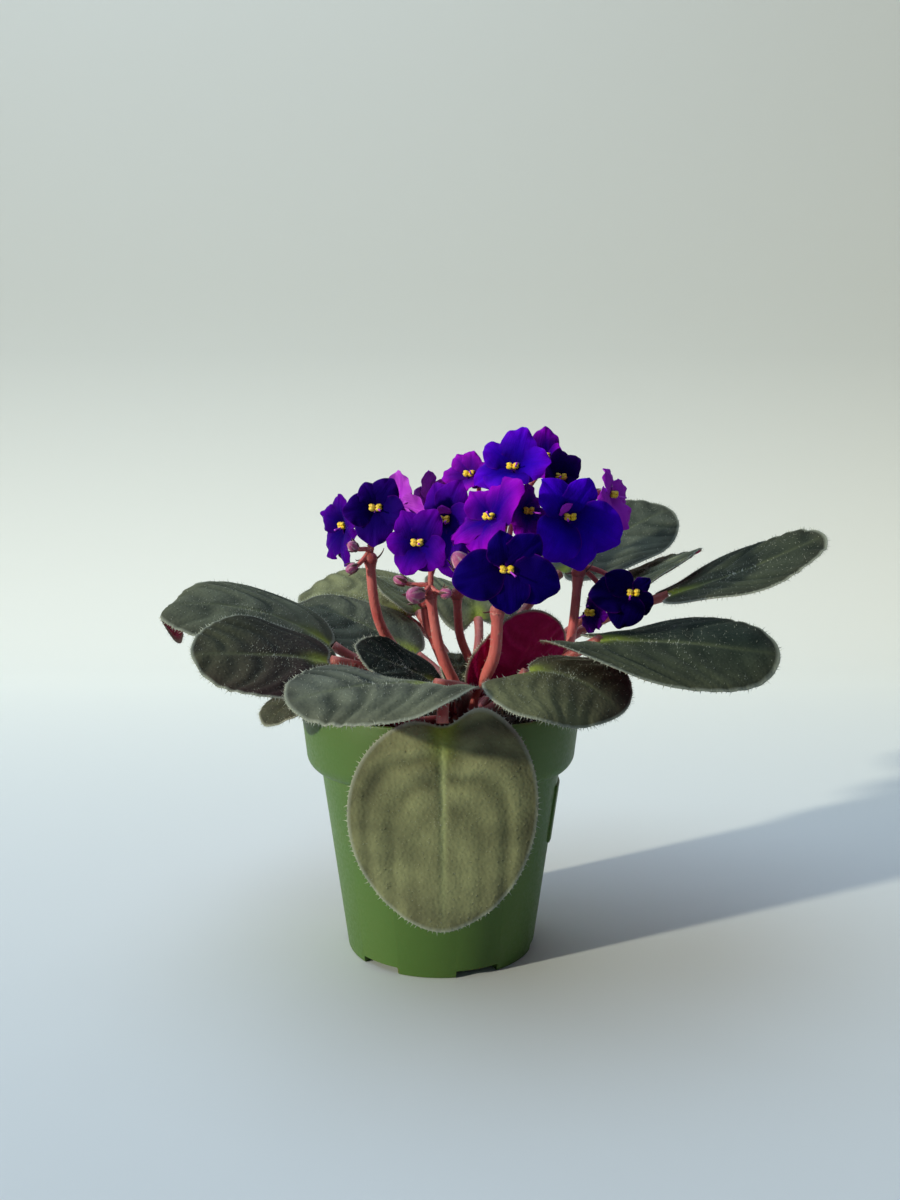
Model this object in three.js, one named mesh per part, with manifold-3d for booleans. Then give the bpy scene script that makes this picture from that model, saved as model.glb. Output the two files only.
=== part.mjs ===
// An African violet in flower, in a plain nursery pot.
//
// Millimetres and degrees, +Z up, with the origin at the middle of the pot's underside.
// The plant is a rosette: one short crown stands in the soil, every leaf grows from it on a
// fleshy stalk (the petiole), and six flower stalks rise from between the petioles. Each flower
// stalk ends in a few side branches (the pedicels), and each of those carries a flower or a bud.
// Headings are measured from +X towards +Y, and slopes upwards from the level.

import * as THREE from 'three';
import { mergeVertices } from 'three/addons/utils/BufferGeometryUtils.js';
import Module from 'manifold-3d';

const wasm = await Module();
wasm.setup();

const RAD = Math.PI / 180;

// ---------------------------------------------------------------------------------------------
// Driving dimensions
// ---------------------------------------------------------------------------------------------

const GAP = 0.3; // left between pieces that touch on the real plant

// The pot is a four-inch nursery pot with a deep rim band.
const POT = {
  height: 90,
  rimRadius: 51,
  rimFootRadius: 49,
  rimFootHeight: 73,
  bodyTopRadius: 43.7,
  bodyTopHeight: 66.7,
  baseRadius: 34.4,
  edgeRound: 0.8,
  wall: 1.5,
  floor: 2.2,
  sides: 44,
};
const DRAIN = { count: 6, first: -68, width: 15.5, depth: 7, height: 2.6 };
const PAD = { low: 40, high: 61, width: 24, proud: 0.8 };

const SOIL = { top: 80, inset: 0.5, rings: [0.85, 0.6, 0.35], sides: 32, lump: 1 };
const SOIL_HOLE = { radius: 5.6, depth: 10, sides: 12 };

// The crown, from its foot in the soil to its growing tip, as [radius, height].
const CROWN = { x: 9, y: -3, sides: 12 };
const CROWN_PROFILE = [[0, 71], [5, 71], [5, 80.5], [6.4, 82.5], [6.4, 85.5], [4.6, 88], [0, 89.5]];
const PETIOLE = { radius: 2, sides: 6, steps: 4, rootHeight: 83.5, rootReach: 3, slope: 45, stop: 0.8 };

const BLADE = { thickness: 1.2, spokes: 20, rings: [0.45, 0.8, 1], wave: 0.6, waves: 5 };
const NOTCH = { width: 0.25, tip: 0.01, taper: 0.1 };

// Each leaf: base is where the petiole meets the blade, slope is the midrib's slope at the base
// and at the tip, size is length and width, roll is the blade's turn about its midrib at the base
// and how much it grows to the tip, cup bends the left and right halves up, and lobes are how far
// each half reaches back past the base, in lengths. stalk is the petiole's slope at the crown, and
// its slope and turn off the leaf's heading where it meets the blade, if they aren't the usual ones.
const LEAVES = [
  { base: [-42, 18, 108], heading: 194, slope: [36, -10], size: [69, 57],
    roll: [-18, -2], cup: [-16, -8], lobes: [0.1, 0.05] },
  { base: [-38, -24, 108], heading: 203, slope: [11, -1], size: [46, 54],
    roll: [-15, -16], cup: [0, 0], lobes: [0.1, 0.1] },
  { base: [-2, -54, 105], heading: 200, slope: [7, -15], size: [46, 57],
    roll: [9, -27], cup: [-19, 0], lobes: [0.3, 0.15] },
  { base: [-28, -8, 87], heading: 214, slope: [40, -40], size: [41, 45],
    roll: [-2, 5], cup: [0, 0], lobes: [0.1, 0.1], stalk: [0, 40, 0] },
  { base: [-10, 33, 102], heading: 158, slope: [30, 8], size: [58, 47],
    roll: [-18, 0], cup: [-8, -12], lobes: [0.1, 0] },
  { base: [-16, 69, 113], heading: 154, slope: [28, -9], size: [55, 48],
    roll: [-27, -2], cup: [4, 0], lobes: [0.1, 0.1] },
  { base: [-1, -10, 98], heading: 200, slope: [27, 21], size: [33, 34],
    roll: [-20, -10], cup: [17, 1], lobes: [0.1, 0.15] },
  { base: [-10, 57, 117], heading: 122, slope: [36, 8], size: [32, 32],
    roll: [6, 10], cup: [21, 10], lobes: [0.1, 0.1] },
  { base: [15, 49, 115], heading: 94, slope: [38, -36], size: [66, 43],
    roll: [5, 9], cup: [7, -5], lobes: [0.2, 0.1] },
  { base: [49, 47, 134], heading: 28, slope: [31, 19], size: [62, 47],
    roll: [11, 21], cup: [0, 0], lobes: [0.1, 0.1] },
  { base: [64, 32, 123], heading: 27, slope: [36, 10], size: [51, 37],
    roll: [2, -12], cup: [-6, 8], lobes: [0.1, 0.15] },
  { base: [88, 20, 127], heading: -11, slope: [17, 28], size: [60, 48],
    roll: [7, 18], cup: [0, 1], lobes: [0.15, 0.1] },
  { base: [54, -30, 116], heading: -7, slope: [0, -9], size: [58, 62],
    roll: [4, 32], cup: [-21, -7], lobes: [0.15, 0.45], stalk: [30, 20, -55] },
  { base: [28, -51, 109], heading: -24, slope: [5, -49], size: [33, 57],
    roll: [11, 13], cup: [-23, -6], lobes: [0.1, 0.4], stalk: [25, 55, 0] },
  { base: [1, -55, 92], heading: -88, slope: [-78, -92], size: [64, 60],
    roll: [1, 2], cup: [-9, -8], lobes: [0.15, 0.05], stalk: [55, -78, 0] },
  { base: [20, -2, 93], heading: -47, slope: [45, 68], size: [38, 39],
    roll: [-3, -21], cup: [7, 3], lobes: [0.1, 0.15] },
  { base: [9, 3, 90], heading: 110, slope: [57, 37], size: [21, 16],
    roll: [4, 6], cup: [20, 20], lobes: [0.1, 0.1] },
];

// A flower has two smaller upper petals and three larger lower ones, fused at the throat:
// [direction round the face, length in flower radii], with 90 upwards.
const PETALS = [[52, 0.8], [128, 0.8], [200, 1], [270, 1.03], [340, 1]];
const FLOWER = { throat: 2.6, thickness: 0.75, tube: 3.3, notch: 0.6, fullness: 2.4 };
const PETAL_STEPS = [-1, -0.8, -0.3, 0.3, 0.8];
const ANTHER = { length: 4.4, radius: 1.15, waist: 0.8, seat: 1.9 };

// Each flower: at is the middle of its throat, faces is the heading and slope that it looks in,
// spin turns it round that line, and lift bends its petals forward. bends gives the petals that lie
// out of line, by number in PETALS: [turn round the face, stretch, own lift].
const BLOOMS = [
  { at: [-34, -2, 154], faces: [-150, -5], spin: 20, radius: 15.5, lift: 20,
    bends: { 1: [5, 1.05, 30], 2: [5, 1.05, 20] } },
  { at: [-22, -18, 160], faces: [-95, 5], spin: -5, radius: 13.5, lift: 30,
    bends: { 0: [10, 1.15, 25], 1: [-10, 0.95, 30], 2: [-5, 0.95, 35],
      3: [5, 1.05, 25], 4: [5, 1, 35] } },
  { at: [-16, 7, 161], faces: [45, 10], spin: -5, radius: 14.5, lift: 15,
    bends: { 0: [10, 1.05, 25], 1: [-15, 1.15, 5] } },
  { at: [-3, 14, 163], faces: [135, 5], spin: 10, radius: 14, lift: 10,
    bends: { 0: [5, 1.05, 5], 4: [5, 0.9, -5] } },
  { at: [-7, -28, 148], faces: [-110, 15], spin: -10, radius: 14.5, lift: 20,
    bends: { 0: [15, 1.15, 20], 1: [0, 1.1, 20], 2: [-10, 0.8, 25],
      3: [0, 0.9, 30], 4: [-10, 1, 25] } },
  { at: [2, -8, 156], faces: [-115, 5], spin: 10, radius: 16, lift: 10,
    bends: { 0: [5, 1.15, 10], 1: [-25, 1.1, 0], 2: [15, 0.85, -10],
      3: [0, 1.25, 5], 4: [5, 0.9, 25] } },
  { at: [17, -30, 156], faces: [-130, 40], spin: 25, radius: 15.5, lift: 30,
    bends: { 0: [0, 1.05, 35], 1: [-15, 1.1, 35], 2: [5, 1, 15],
      3: [-5, 1.05, 15], 4: [25, 1.25, 35] } },
  { at: [21, -48, 141], faces: [-85, -10], spin: -5, radius: 17, lift: 10,
    bends: { 0: [0, 1.1, 10], 1: [-20, 0.95, 15], 2: [0, 1.05, 10],
      3: [10, 0.85, 10], 4: [0, 1.1, 10] } },
  { at: [11, 8, 172], faces: [-115, 25], spin: 5, radius: 11.5, lift: 30,
    bends: { 0: [20, 1.1, 45], 1: [-5, 1.1, 30], 2: [-5, 1, 35], 3: [-5, 1, 40] } },
  { at: [26, -4, 174], faces: [-105, 30], spin: 10, radius: 16, lift: 25,
    bends: { 0: [10, 1.25, 30], 1: [5, 1.1, 25], 2: [5, 1, 20], 3: [-20, 1.05, 35], 4: [5, 1, 30] } },
  { at: [39, 20, 179], faces: [-90, 25], spin: 15, radius: 13, lift: 30,
    bends: { 0: [15, 1.2, 30], 4: [-5, 0.8, 60] } },
  { at: [43, 4, 171], faces: [-70, 15], spin: -20, radius: 11.5, lift: 35,
    bends: { 0: [10, 1.2, 35], 1: [-15, 1.25, 35], 2: [5, 0.95, 45],
      3: [-5, 0.95, 40], 4: [-15, 0.7, 35] } },
  { at: [44, -18, 157], faces: [-75, 0], spin: 10, radius: 17.5, lift: 15,
    bends: { 0: [0, 1.1, 15], 1: [-10, 1.15, 10], 2: [25, 1.1, 25],
      3: [0, 1.05, 10], 4: [-15, 1.2, 15] } },
  { at: [30, -8, 159], faces: [-55, 5], spin: -20, radius: 12, lift: 20,
    bends: { 0: [0, 0.8, 10], 1: [-10, 1.1, 25], 4: [-5, 1, 15] } },
  { at: [61, 0, 165], faces: [-35, 0], spin: 0, radius: 12.5, lift: 20,
    bends: { 0: [-15, 0.8, 20], 1: [-5, 1.1, 10], 2: [10, 1.05, 15],
      3: [5, 1.15, 30], 4: [10, 0.95, 10] } },
  { at: [67, -14, 131], faces: [-85, -10], spin: -10, radius: 13, lift: 10,
    bends: { 0: [-5, 0.75, 20], 1: [25, 1.1, 5], 2: [-5, 1.15, 0],
      3: [-10, 1.05, 5], 4: [-25, 0.85, -5] } },
  { at: [55, -4, 123], faces: [-140, -10], spin: 15, radius: 8, lift: 15,
    bends: { 1: [-15, 0.85, -25], 2: [30, 1.15, 5], 3: [5, 0.85, 10] } },
];

// Each flower stalk: its path from the crown up to where it branches, its radius, the flowers that
// it carries by number, and its buds as [x, y, z, length].
const STALK = { sides: 8, steps: 7, knob: 2.8 };
const PEDICEL = { radius: 0.85, sides: 5, steps: 3, rise: 6 };
const CALYX = { length: 5, mouth: 2.3, foot: 1, sides: 5 };
const STALKS = [
  { path: [[3.5, -3, 86], [-6, 1, 96], [-16, 4, 107], [-21.5, -2, 117], [-24, -6, 128], [-25, -8, 142]],
    radius: 2.1, flowers: [1, 2, 3], buds: [[-30, -20, 147, 5], [-31, -14, 139, 5]] },
  { path: [[6, -6.5, 87], [6, -9, 95], [2, -14, 105], [-1, -15.5, 114], [-3.5, -16, 130]],
    radius: 2.1, flowers: [5], buds: [[-14, -17, 135, 5], [-8.5, -24, 130.5, 8], [2, -22, 131, 5]] },
  { path: [[6.5, 2, 87], [2.5, 8, 98], [-1.5, 8, 108], [-5, 5, 117], [-6, 3, 126]],
    radius: 1.9, flowers: [4], buds: [] },
  { path: [[11.5, 1, 86], [15, 6, 92], [11, 14, 102], [7, 12, 113], [6, 10, 128]],
    radius: 1.9, flowers: [6, 9, 11], buds: [] },
  { path: [[11, -5.5, 87], [12, -8, 94], [17, -17, 104], [19, -22, 112], [19.5, -24, 125]],
    radius: 2.4, flowers: [7, 8, 10, 14], buds: [[7, -34, 142, 9]] },
  { path: [[13.5, -3, 86], [26, 8, 95], [38, 4, 102], [45, -2, 108], [47.5, -4, 116], [49.5, -4, 137]],
    radius: 2, flowers: [12, 13, 15, 16, 17], buds: [[37, -14, 145, 5]] },
];

// ---------------------------------------------------------------------------------------------
// Finishes
// ---------------------------------------------------------------------------------------------

function finish(color, roughness) {
  return new THREE.MeshStandardMaterial({ color, roughness, metalness: 0 });
}

const FINISHES = {
  pot: finish('#4d6f3a', 0.45),
  soil: finish('#2a211b', 0.95),
  stem: finish('#a84a4c', 0.6),
  leaf: finish('#3b4a3c', 0.85),
  petal: finish('#35139a', 0.7),
  anther: finish('#e6b90e', 0.6),
};

// ---------------------------------------------------------------------------------------------
// Working in solids
// ---------------------------------------------------------------------------------------------

function solidOf(geometry) {
  const bare = new THREE.BufferGeometry();
  bare.setAttribute('position', geometry.getAttribute('position'));
  bare.setIndex(geometry.getIndex());
  const merged = mergeVertices(bare, 1e-4);
  return new wasm.Manifold(new wasm.Mesh({
    numProp: 3,
    vertProperties: new Float32Array(merged.getAttribute('position').array),
    triVerts: new Uint32Array(merged.getIndex().array),
  }));
}

function geometryOf(solid) {
  const mesh = solid.getMesh();
  const geometry = new THREE.BufferGeometry();
  geometry.setAttribute('position', new THREE.BufferAttribute(new Float32Array(mesh.vertProperties), 3));
  geometry.setIndex(new THREE.BufferAttribute(new Uint32Array(mesh.triVerts), 1));
  geometry.computeVertexNormals();
  return geometry;
}

function union(geometries) {
  return geometries.map(solidOf).reduce((whole, solid) => whole.add(solid));
}

// The largest separate body of a solid, without the loose scraps that a cut leaves.
function largestBody(solid) {
  return solid.decompose().reduce((best, body) => (body.volume() > best.volume() ? body : best));
}

function ring(radius, sides) {
  const points = [];
  for (let i = 0; i < sides; i += 1) {
    const angle = (2 * Math.PI * i) / sides;
    points.push(new THREE.Vector2(radius * Math.cos(angle), radius * Math.sin(angle)));
  }
  return new THREE.Shape(points);
}

function tube(curve, radius, sides, steps) {
  return new THREE.ExtrudeGeometry(ring(radius, sides), { steps, extrudePath: curve });
}

function lathe(profile, sides) {
  const points = profile.map(([radius, height]) => new THREE.Vector2(radius, height));
  return new THREE.LatheGeometry(points, sides).rotateX(Math.PI / 2);
}

// A closed sheet from rings of [top, bottom] point pairs round a middle pair. Both faces have
// the same triangles, so they never cross where the sheet is waved.
function sheet(middle, rings) {
  const spokes = rings[0].length;
  const points = [...middle];
  rings.forEach((pairs) => pairs.forEach((pair) => points.push(...pair)));
  const top = (ringIndex, spoke) => 2 + 2 * (ringIndex * spokes + (spoke % spokes));
  const index = [];
  const face = (a, b, c) => {
    index.push(a, b, c);
    index.push(a + 1, c + 1, b + 1);
  };
  for (let spoke = 0; spoke < spokes; spoke += 1) {
    face(0, top(0, spoke), top(0, spoke + 1));
    for (let r = 1; r < rings.length; r += 1) {
      face(top(r - 1, spoke), top(r, spoke), top(r, spoke + 1));
      face(top(r - 1, spoke), top(r, spoke + 1), top(r - 1, spoke + 1));
    }
    const a = top(rings.length - 1, spoke);
    const b = top(rings.length - 1, spoke + 1);
    index.push(a, a + 1, b + 1);
    index.push(a, b + 1, b);
  }
  const geometry = new THREE.BufferGeometry();
  const places = points.flatMap((point) => point.toArray());
  geometry.setAttribute('position', new THREE.Float32BufferAttribute(places, 3));
  geometry.setIndex(index);
  geometry.computeVertexNormals();
  return geometry;
}

function direction(heading, slope) {
  const level = Math.cos(slope * RAD);
  return new THREE.Vector3(
    level * Math.cos(heading * RAD),
    level * Math.sin(heading * RAD),
    Math.sin(slope * RAD),
  );
}

function vector(place) {
  return new THREE.Vector3(...place);
}

// ---------------------------------------------------------------------------------------------
// Pot and soil
// ---------------------------------------------------------------------------------------------

function wallRadius(height) {
  if (height > POT.rimFootHeight) {
    const up = (height - POT.rimFootHeight) / (POT.height - POT.rimFootHeight);
    return POT.rimFootRadius + up * (POT.rimRadius - POT.rimFootRadius);
  }
  return POT.baseRadius + (height / POT.bodyTopHeight) * (POT.bodyTopRadius - POT.baseRadius);
}

// The rounded shoulder from the body out to the foot of the rim band, as a quarter ellipse.
function shoulder(inset, steps) {
  const points = [];
  for (let i = 0; i <= steps; i += 1) {
    const angle = (Math.PI / 2) * (i / steps);
    const out = POT.rimFootRadius - POT.bodyTopRadius;
    const rise = POT.rimFootHeight - POT.bodyTopHeight;
    points.push([
      POT.bodyTopRadius - inset + out * Math.sin(angle),
      POT.bodyTopHeight + rise * (1 - Math.cos(angle)),
    ]);
  }
  return points;
}

function potGeometry() {
  const { baseRadius, edgeRound, rimRadius, height, wall, floor, sides } = POT;
  const outside = [[0, 0], [baseRadius - edgeRound, 0], [baseRadius, edgeRound], ...shoulder(0, 4)];
  const inside = [...shoulder(wall, 3).reverse(), [wallRadius(floor) - wall, floor], [0, floor]];
  const rim = [[rimRadius - 0.4, height], [rimRadius - wall, height]];
  let pot = solidOf(lathe([...outside, [rimRadius, height - 0.4], ...rim, ...inside], sides));

  const padLow = wallRadius(PAD.low) + PAD.proud;
  const padHigh = wallRadius(PAD.high) + PAD.proud;
  const band = lathe([
    [padLow - PAD.proud - wall / 2, PAD.low],
    [padLow, PAD.low],
    [padHigh, PAD.high],
    [padHigh - PAD.proud - wall / 2, PAD.high],
    [padLow - PAD.proud - wall / 2, PAD.low],
  ], sides);
  const window = new THREE.BoxGeometry(rimRadius, PAD.width, height)
    .translate(rimRadius / 2, 0, height / 2);
  pot = pot.add(solidOf(band).intersect(solidOf(window)));

  for (let i = 0; i < DRAIN.count; i += 1) {
    const heading = (DRAIN.first + (360 / DRAIN.count) * i) * RAD;
    const notch = new THREE.BoxGeometry(DRAIN.depth, DRAIN.width, 2 * DRAIN.height)
      .translate(baseRadius + 1.5 - DRAIN.depth / 2, 0, 0)
      .rotateZ(heading);
    pot = pot.subtract(solidOf(notch));
  }
  return geometryOf(pot);
}

function soilHeight(x, y) {
  const coarse = Math.sin(0.21 * x + 1.3) * Math.cos(0.17 * y + 0.4);
  const fine = Math.sin(0.47 * x - 0.33 * y);
  return SOIL.top + SOIL.lump * (0.7 * coarse + 0.3 * fine);
}

function soilGeometry() {
  const clear = POT.wall + SOIL.inset;
  const side = [[wallRadius(POT.floor) - clear, POT.floor + GAP]];
  shoulder(clear, 3).forEach((point) => side.push(point));
  const edge = wallRadius(SOIL.top) - clear;
  const top = SOIL.rings.map((share) => [edge * share, SOIL.top]);
  const profile = [[0, POT.floor + GAP], ...side, [edge, SOIL.top], ...top, [0, SOIL.top]];
  const geometry = lathe(profile, SOIL.sides);
  const position = geometry.getAttribute('position');
  for (let i = 0; i < position.count; i += 1) {
    if (Math.abs(position.getZ(i) - SOIL.top) < 0.001) {
      position.setZ(i, soilHeight(position.getX(i), position.getY(i)));
    }
  }
  const { radius, depth, sides } = SOIL_HOLE;
  const hole = new THREE.CylinderGeometry(radius, radius, 4 * depth, sides)
    .rotateX(Math.PI / 2)
    .translate(CROWN.x, CROWN.y, SOIL.top + depth);
  return geometryOf(solidOf(geometry).subtract(solidOf(hole)));
}

// ---------------------------------------------------------------------------------------------
// Leaves
// ---------------------------------------------------------------------------------------------

// A point of a leaf's blade, in a frame with the base at the origin and the leaf heading along
// +X. The blade is a unit disc, with along and across from -1 to 1, drawn out to the leaf's
// outline, bent along its midrib, rolled about it and cupped. height is off the blade's face.
function bladePoint(leaf, along, across, height, wavePhase) {
  const [length, width] = leaf.size;
  const [left, right] = leaf.lobes;
  const lobe = (left + right) / 2 + ((left - right) / 2) * Math.tanh(across / 0.3);
  const middle = Math.exp(-((across / NOTCH.width) ** 2));
  const near = Math.max(-along, 0);
  const far = Math.max(along, 0);
  const plain = ((along + 1) / 2) * (1 + lobe) - lobe;
  const share = plain + middle * (lobe * near ** 2 + NOTCH.tip * far ** 4);
  const x = share * length;
  const reach = Math.abs(across * (1 - NOTCH.taper * along));

  const start = leaf.slope[0] * RAD;
  const bend = ((leaf.slope[1] - leaf.slope[0]) * RAD) / length;
  const slope = start + bend * Math.max(x, 0);
  const behind = Math.min(x, 0);
  const outward = (Math.sin(slope) - Math.sin(start)) / bend + behind * Math.cos(start);
  const upward = (Math.cos(start) - Math.cos(slope)) / bend + behind * Math.sin(start);

  const roll = (leaf.roll[0] + leaf.roll[1] * share) * RAD;
  const normal = new THREE.Vector3(-Math.sin(slope), 0, Math.cos(slope));
  const leftward = new THREE.Vector3(0, 1, 0);
  const sideways = leftward.clone().multiplyScalar(Math.cos(roll)).addScaledVector(normal, Math.sin(roll));
  const face = normal.clone().multiplyScalar(Math.cos(roll)).addScaledVector(leftward, -Math.sin(roll));

  const cup = (across > 0 ? leaf.cup[0] : leaf.cup[1]) * RAD || 0.001;
  const side = (Math.sin(cup * reach) / cup) * (width / 2) * Math.sign(across);
  const round = BLADE.waves * Math.atan2(across, along) + wavePhase;
  const wave = BLADE.wave * (along ** 2 + across ** 2) * Math.sin(round);
  const rise = ((1 - Math.cos(cup * reach)) / cup) * (width / 2) + wave + height;
  return new THREE.Vector3(outward, 0, upward).addScaledVector(sideways, side).addScaledVector(face, rise);
}

// grown makes the blade that much thicker and longer all round, for cutting clear of it.
function bladeGeometry(leaf, number, grown = 0) {
  const half = BLADE.thickness / 2 + grown;
  const shape = { ...leaf, size: leaf.size.map((side) => side + 2 * grown) };
  const pair = (along, across) => [
    bladePoint(shape, along, across, half, number),
    bladePoint(shape, along, across, -half, number),
  ];
  const rings = BLADE.rings.map((radius) => {
    const pairs = [];
    for (let spoke = 0; spoke < BLADE.spokes; spoke += 1) {
      const angle = (2 * Math.PI * spoke) / BLADE.spokes;
      pairs.push(pair(radius * Math.cos(angle), radius * Math.sin(angle)));
    }
    return pairs;
  });
  const geometry = sheet(pair(0, 0), rings);
  return geometry.translate(-grown, 0, 0);
}

function placeLeaf(object, leaf) {
  object.position.copy(vector(leaf.base));
  object.rotation.z = leaf.heading * RAD;
  object.updateMatrix();
  return object;
}

function leafMesh(leaf, index) {
  const mesh = new THREE.Mesh(bladeGeometry(leaf, index + 1), FINISHES.leaf);
  mesh.name = `leaf_${String(index + 1).padStart(2, '0')}`;
  return placeLeaf(mesh, leaf);
}

function petioleCurve(leaf, grown) {
  const base = vector(leaf.base);
  const middle = new THREE.Vector3(CROWN.x, CROWN.y, PETIOLE.rootHeight);
  const away = base.clone().sub(middle).setZ(0).normalize();
  const root = middle.addScaledVector(away, PETIOLE.rootReach);
  const [rootSlope, endSlope, endTurn] = leaf.stalk ?? [PETIOLE.slope, leaf.slope[0], 0];
  const rootWay = direction(Math.atan2(away.y, away.x) / RAD, rootSlope);
  const bladeWay = direction(leaf.heading + endTurn, endSlope);
  const end = base.clone().addScaledVector(bladeWay, grown - PETIOLE.stop);
  const handle = 0.35 * end.distanceTo(root);
  return new THREE.CubicBezierCurve3(
    root,
    root.clone().addScaledVector(rootWay, handle),
    end.clone().addScaledVector(bladeWay, -handle),
    end,
  );
}

// The petioles and stalks give way to what they pass: each is cut back by its neighbour's shape,
// grown by the gap, and its longest body is kept.
function clearOf(solid, neighbours) {
  return largestBody(neighbours.reduce((left, neighbour) => left.subtract(neighbour), solid));
}

function grownBlades() {
  return LEAVES.map((leaf, index) => {
    const blade = placeLeaf(new THREE.Object3D(), leaf);
    return solidOf(bladeGeometry(leaf, index + 1, GAP).applyMatrix4(blade.matrix));
  });
}

function crownCore(grown) {
  const profile = CROWN_PROFILE.map(([radius, height]) => {
    const rise = height > SOIL.top ? grown : -grown;
    return [radius > 0 ? radius + grown : 0, height + rise];
  });
  return lathe(profile, CROWN.sides).translate(CROWN.x, CROWN.y, 0);
}

function crownSolid(grown, blades) {
  const petioles = LEAVES.map((leaf) => {
    const stem = tube(petioleCurve(leaf, grown), PETIOLE.radius + grown, PETIOLE.sides, PETIOLE.steps);
    return clearOf(solidOf(stem), blades);
  });
  return petioles.reduce((whole, petiole) => whole.add(petiole), solidOf(crownCore(grown)));
}

// ---------------------------------------------------------------------------------------------
// Flowers
// ---------------------------------------------------------------------------------------------

// A flower in its own frame: it faces +Z, with its upper petals towards +Y. Its one sheet has an
// outline of five petals, and its back runs down into the short tube behind the throat.
function bloomGeometry(bloom) {
  const petals = PETALS.map(([angle, length], i) => {
    const [turn, stretch, lift] = bloom.bends?.[i] ?? [0, 1, bloom.lift];
    return { angle: angle + turn + bloom.spin, length: length * stretch * bloom.radius, lift };
  });
  const outer = [];
  petals.forEach((petal, i) => {
    const before = petals[(i + 4) % 5];
    const after = petals[(i + 1) % 5];
    const toBefore = ((petal.angle - before.angle + 360) % 360) / 2;
    const toAfter = ((after.angle - petal.angle + 360) % 360) / 2;
    PETAL_STEPS.forEach((step) => {
      const beside = step < 0 ? before : after;
      const angle = petal.angle + step * (step < 0 ? toBefore : toAfter);
      const notch = (FLOWER.notch * (petal.length + beside.length)) / 2;
      const round = (1 - Math.abs(step) ** FLOWER.fullness) ** 0.5;
      const length = notch + (petal.length - notch) * round;
      const share = Math.abs(step) ** 3;
      const lift = petal.lift * (1 - share) + ((petal.lift + beside.lift) / 2) * share;
      outer.push({ angle: angle * RAD, length, lift: lift * RAD });
    });
  });
  const pairAt = (spoke, share) => {
    const slant = share * (spoke.length - FLOWER.throat);
    const out = FLOWER.throat + slant * Math.cos(spoke.lift);
    const up = slant * Math.sin(spoke.lift);
    const half = share > 0 ? FLOWER.thickness / 2 / Math.cos(spoke.lift) : FLOWER.thickness / 2;
    const x = out * Math.cos(spoke.angle);
    const y = out * Math.sin(spoke.angle);
    return [new THREE.Vector3(x, y, up + half), new THREE.Vector3(x, y, up - half)];
  };
  const middle = [new THREE.Vector3(0, 0, FLOWER.thickness / 2), new THREE.Vector3(0, 0, -FLOWER.tube)];
  return sheet(middle, [0, 1].map((share) => outer.map((spoke) => pairAt(spoke, share))));
}

function bloomFrame(bloom) {
  const face = direction(...bloom.faces);
  const up = new THREE.Vector3(0, 0, 1).addScaledVector(face, -face.z).normalize();
  const right = new THREE.Vector3().crossVectors(up, face);
  return new THREE.Matrix4().makeBasis(right, up, face).setPosition(vector(bloom.at));
}

function bloomMesh(bloom, index) {
  const mesh = new THREE.Mesh(bloomGeometry(bloom), FINISHES.petal);
  mesh.name = `bloom_${String(index + 1).padStart(2, '0')}`;
  bloomFrame(bloom).decompose(mesh.position, mesh.quaternion, mesh.scale);
  return mesh;
}

// The two anthers are joined at their tips, side by side across the throat.
function antherMesh(bloom, index) {
  const half = ANTHER.length / 2;
  const { radius, waist } = ANTHER;
  const profile = [[0, -half], [radius, -half * 0.6], [waist, 0], [radius, half * 0.6], [0, half]];
  const points = profile.map(([out, height]) => new THREE.Vector2(out, height));
  const geometry = new THREE.LatheGeometry(points, 6).rotateZ(Math.PI / 2).translate(0, 0, ANTHER.seat);
  const mesh = new THREE.Mesh(geometry, FINISHES.anther);
  mesh.name = `anthers_${String(index + 1).padStart(2, '0')}`;
  bloomFrame(bloom).decompose(mesh.position, mesh.quaternion, mesh.scale);
  return mesh;
}

// ---------------------------------------------------------------------------------------------
// Flower stalks
// ---------------------------------------------------------------------------------------------

// A cone or an egg built along +Y is turned to lie along a direction.
function aim(geometry, way, place) {
  const turn = new THREE.Quaternion().setFromUnitVectors(new THREE.Vector3(0, 1, 0), way);
  return geometry.applyQuaternion(turn).translate(place.x, place.y, place.z);
}

function pedicel(from, to, arrival) {
  const curve = new THREE.CubicBezierCurve3(
    from,
    from.clone().add(new THREE.Vector3(0, 0, PEDICEL.rise)),
    to.clone().addScaledVector(arrival, -PEDICEL.rise),
    to,
  );
  return tube(curve, PEDICEL.radius, PEDICEL.sides, PEDICEL.steps);
}

function flowerBranch(from, bloom) {
  const face = direction(...bloom.faces);
  const mouth = vector(bloom.at).addScaledVector(face, -FLOWER.tube - GAP);
  const foot = mouth.clone().addScaledVector(face, -CALYX.length);
  const calyx = new THREE.CylinderGeometry(CALYX.mouth, CALYX.foot, CALYX.length, CALYX.sides);
  const middle = mouth.clone().addScaledVector(face, -CALYX.length / 2);
  return [aim(calyx, face, middle), pedicel(from, foot.clone().addScaledVector(face, 1), face)];
}

function budBranch(from, [x, y, z, length]) {
  const place = new THREE.Vector3(x, y, z);
  const way = place.clone().sub(from).normalize();
  const bud = new THREE.SphereGeometry(length / 2, 6, 4).scale(0.75, 1, 0.75);
  return [aim(bud, way, place), pedicel(from, place.clone().addScaledVector(way, -length / 4), way)];
}

function stalkSolid(stalk) {
  const points = stalk.path.map(vector);
  const top = points[points.length - 1];
  const parts = [
    tube(new THREE.CatmullRomCurve3(points), stalk.radius, STALK.sides, STALK.steps),
    new THREE.IcosahedronGeometry(STALK.knob, 0).translate(top.x, top.y, top.z),
  ];
  stalk.flowers.forEach((number) => parts.push(...flowerBranch(top, BLOOMS[number - 1])));
  stalk.buds.forEach((bud) => parts.push(...budBranch(top, bud)));
  return union(parts);
}

// ---------------------------------------------------------------------------------------------
// The plant
// ---------------------------------------------------------------------------------------------

const plant = new THREE.Group();

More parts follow.
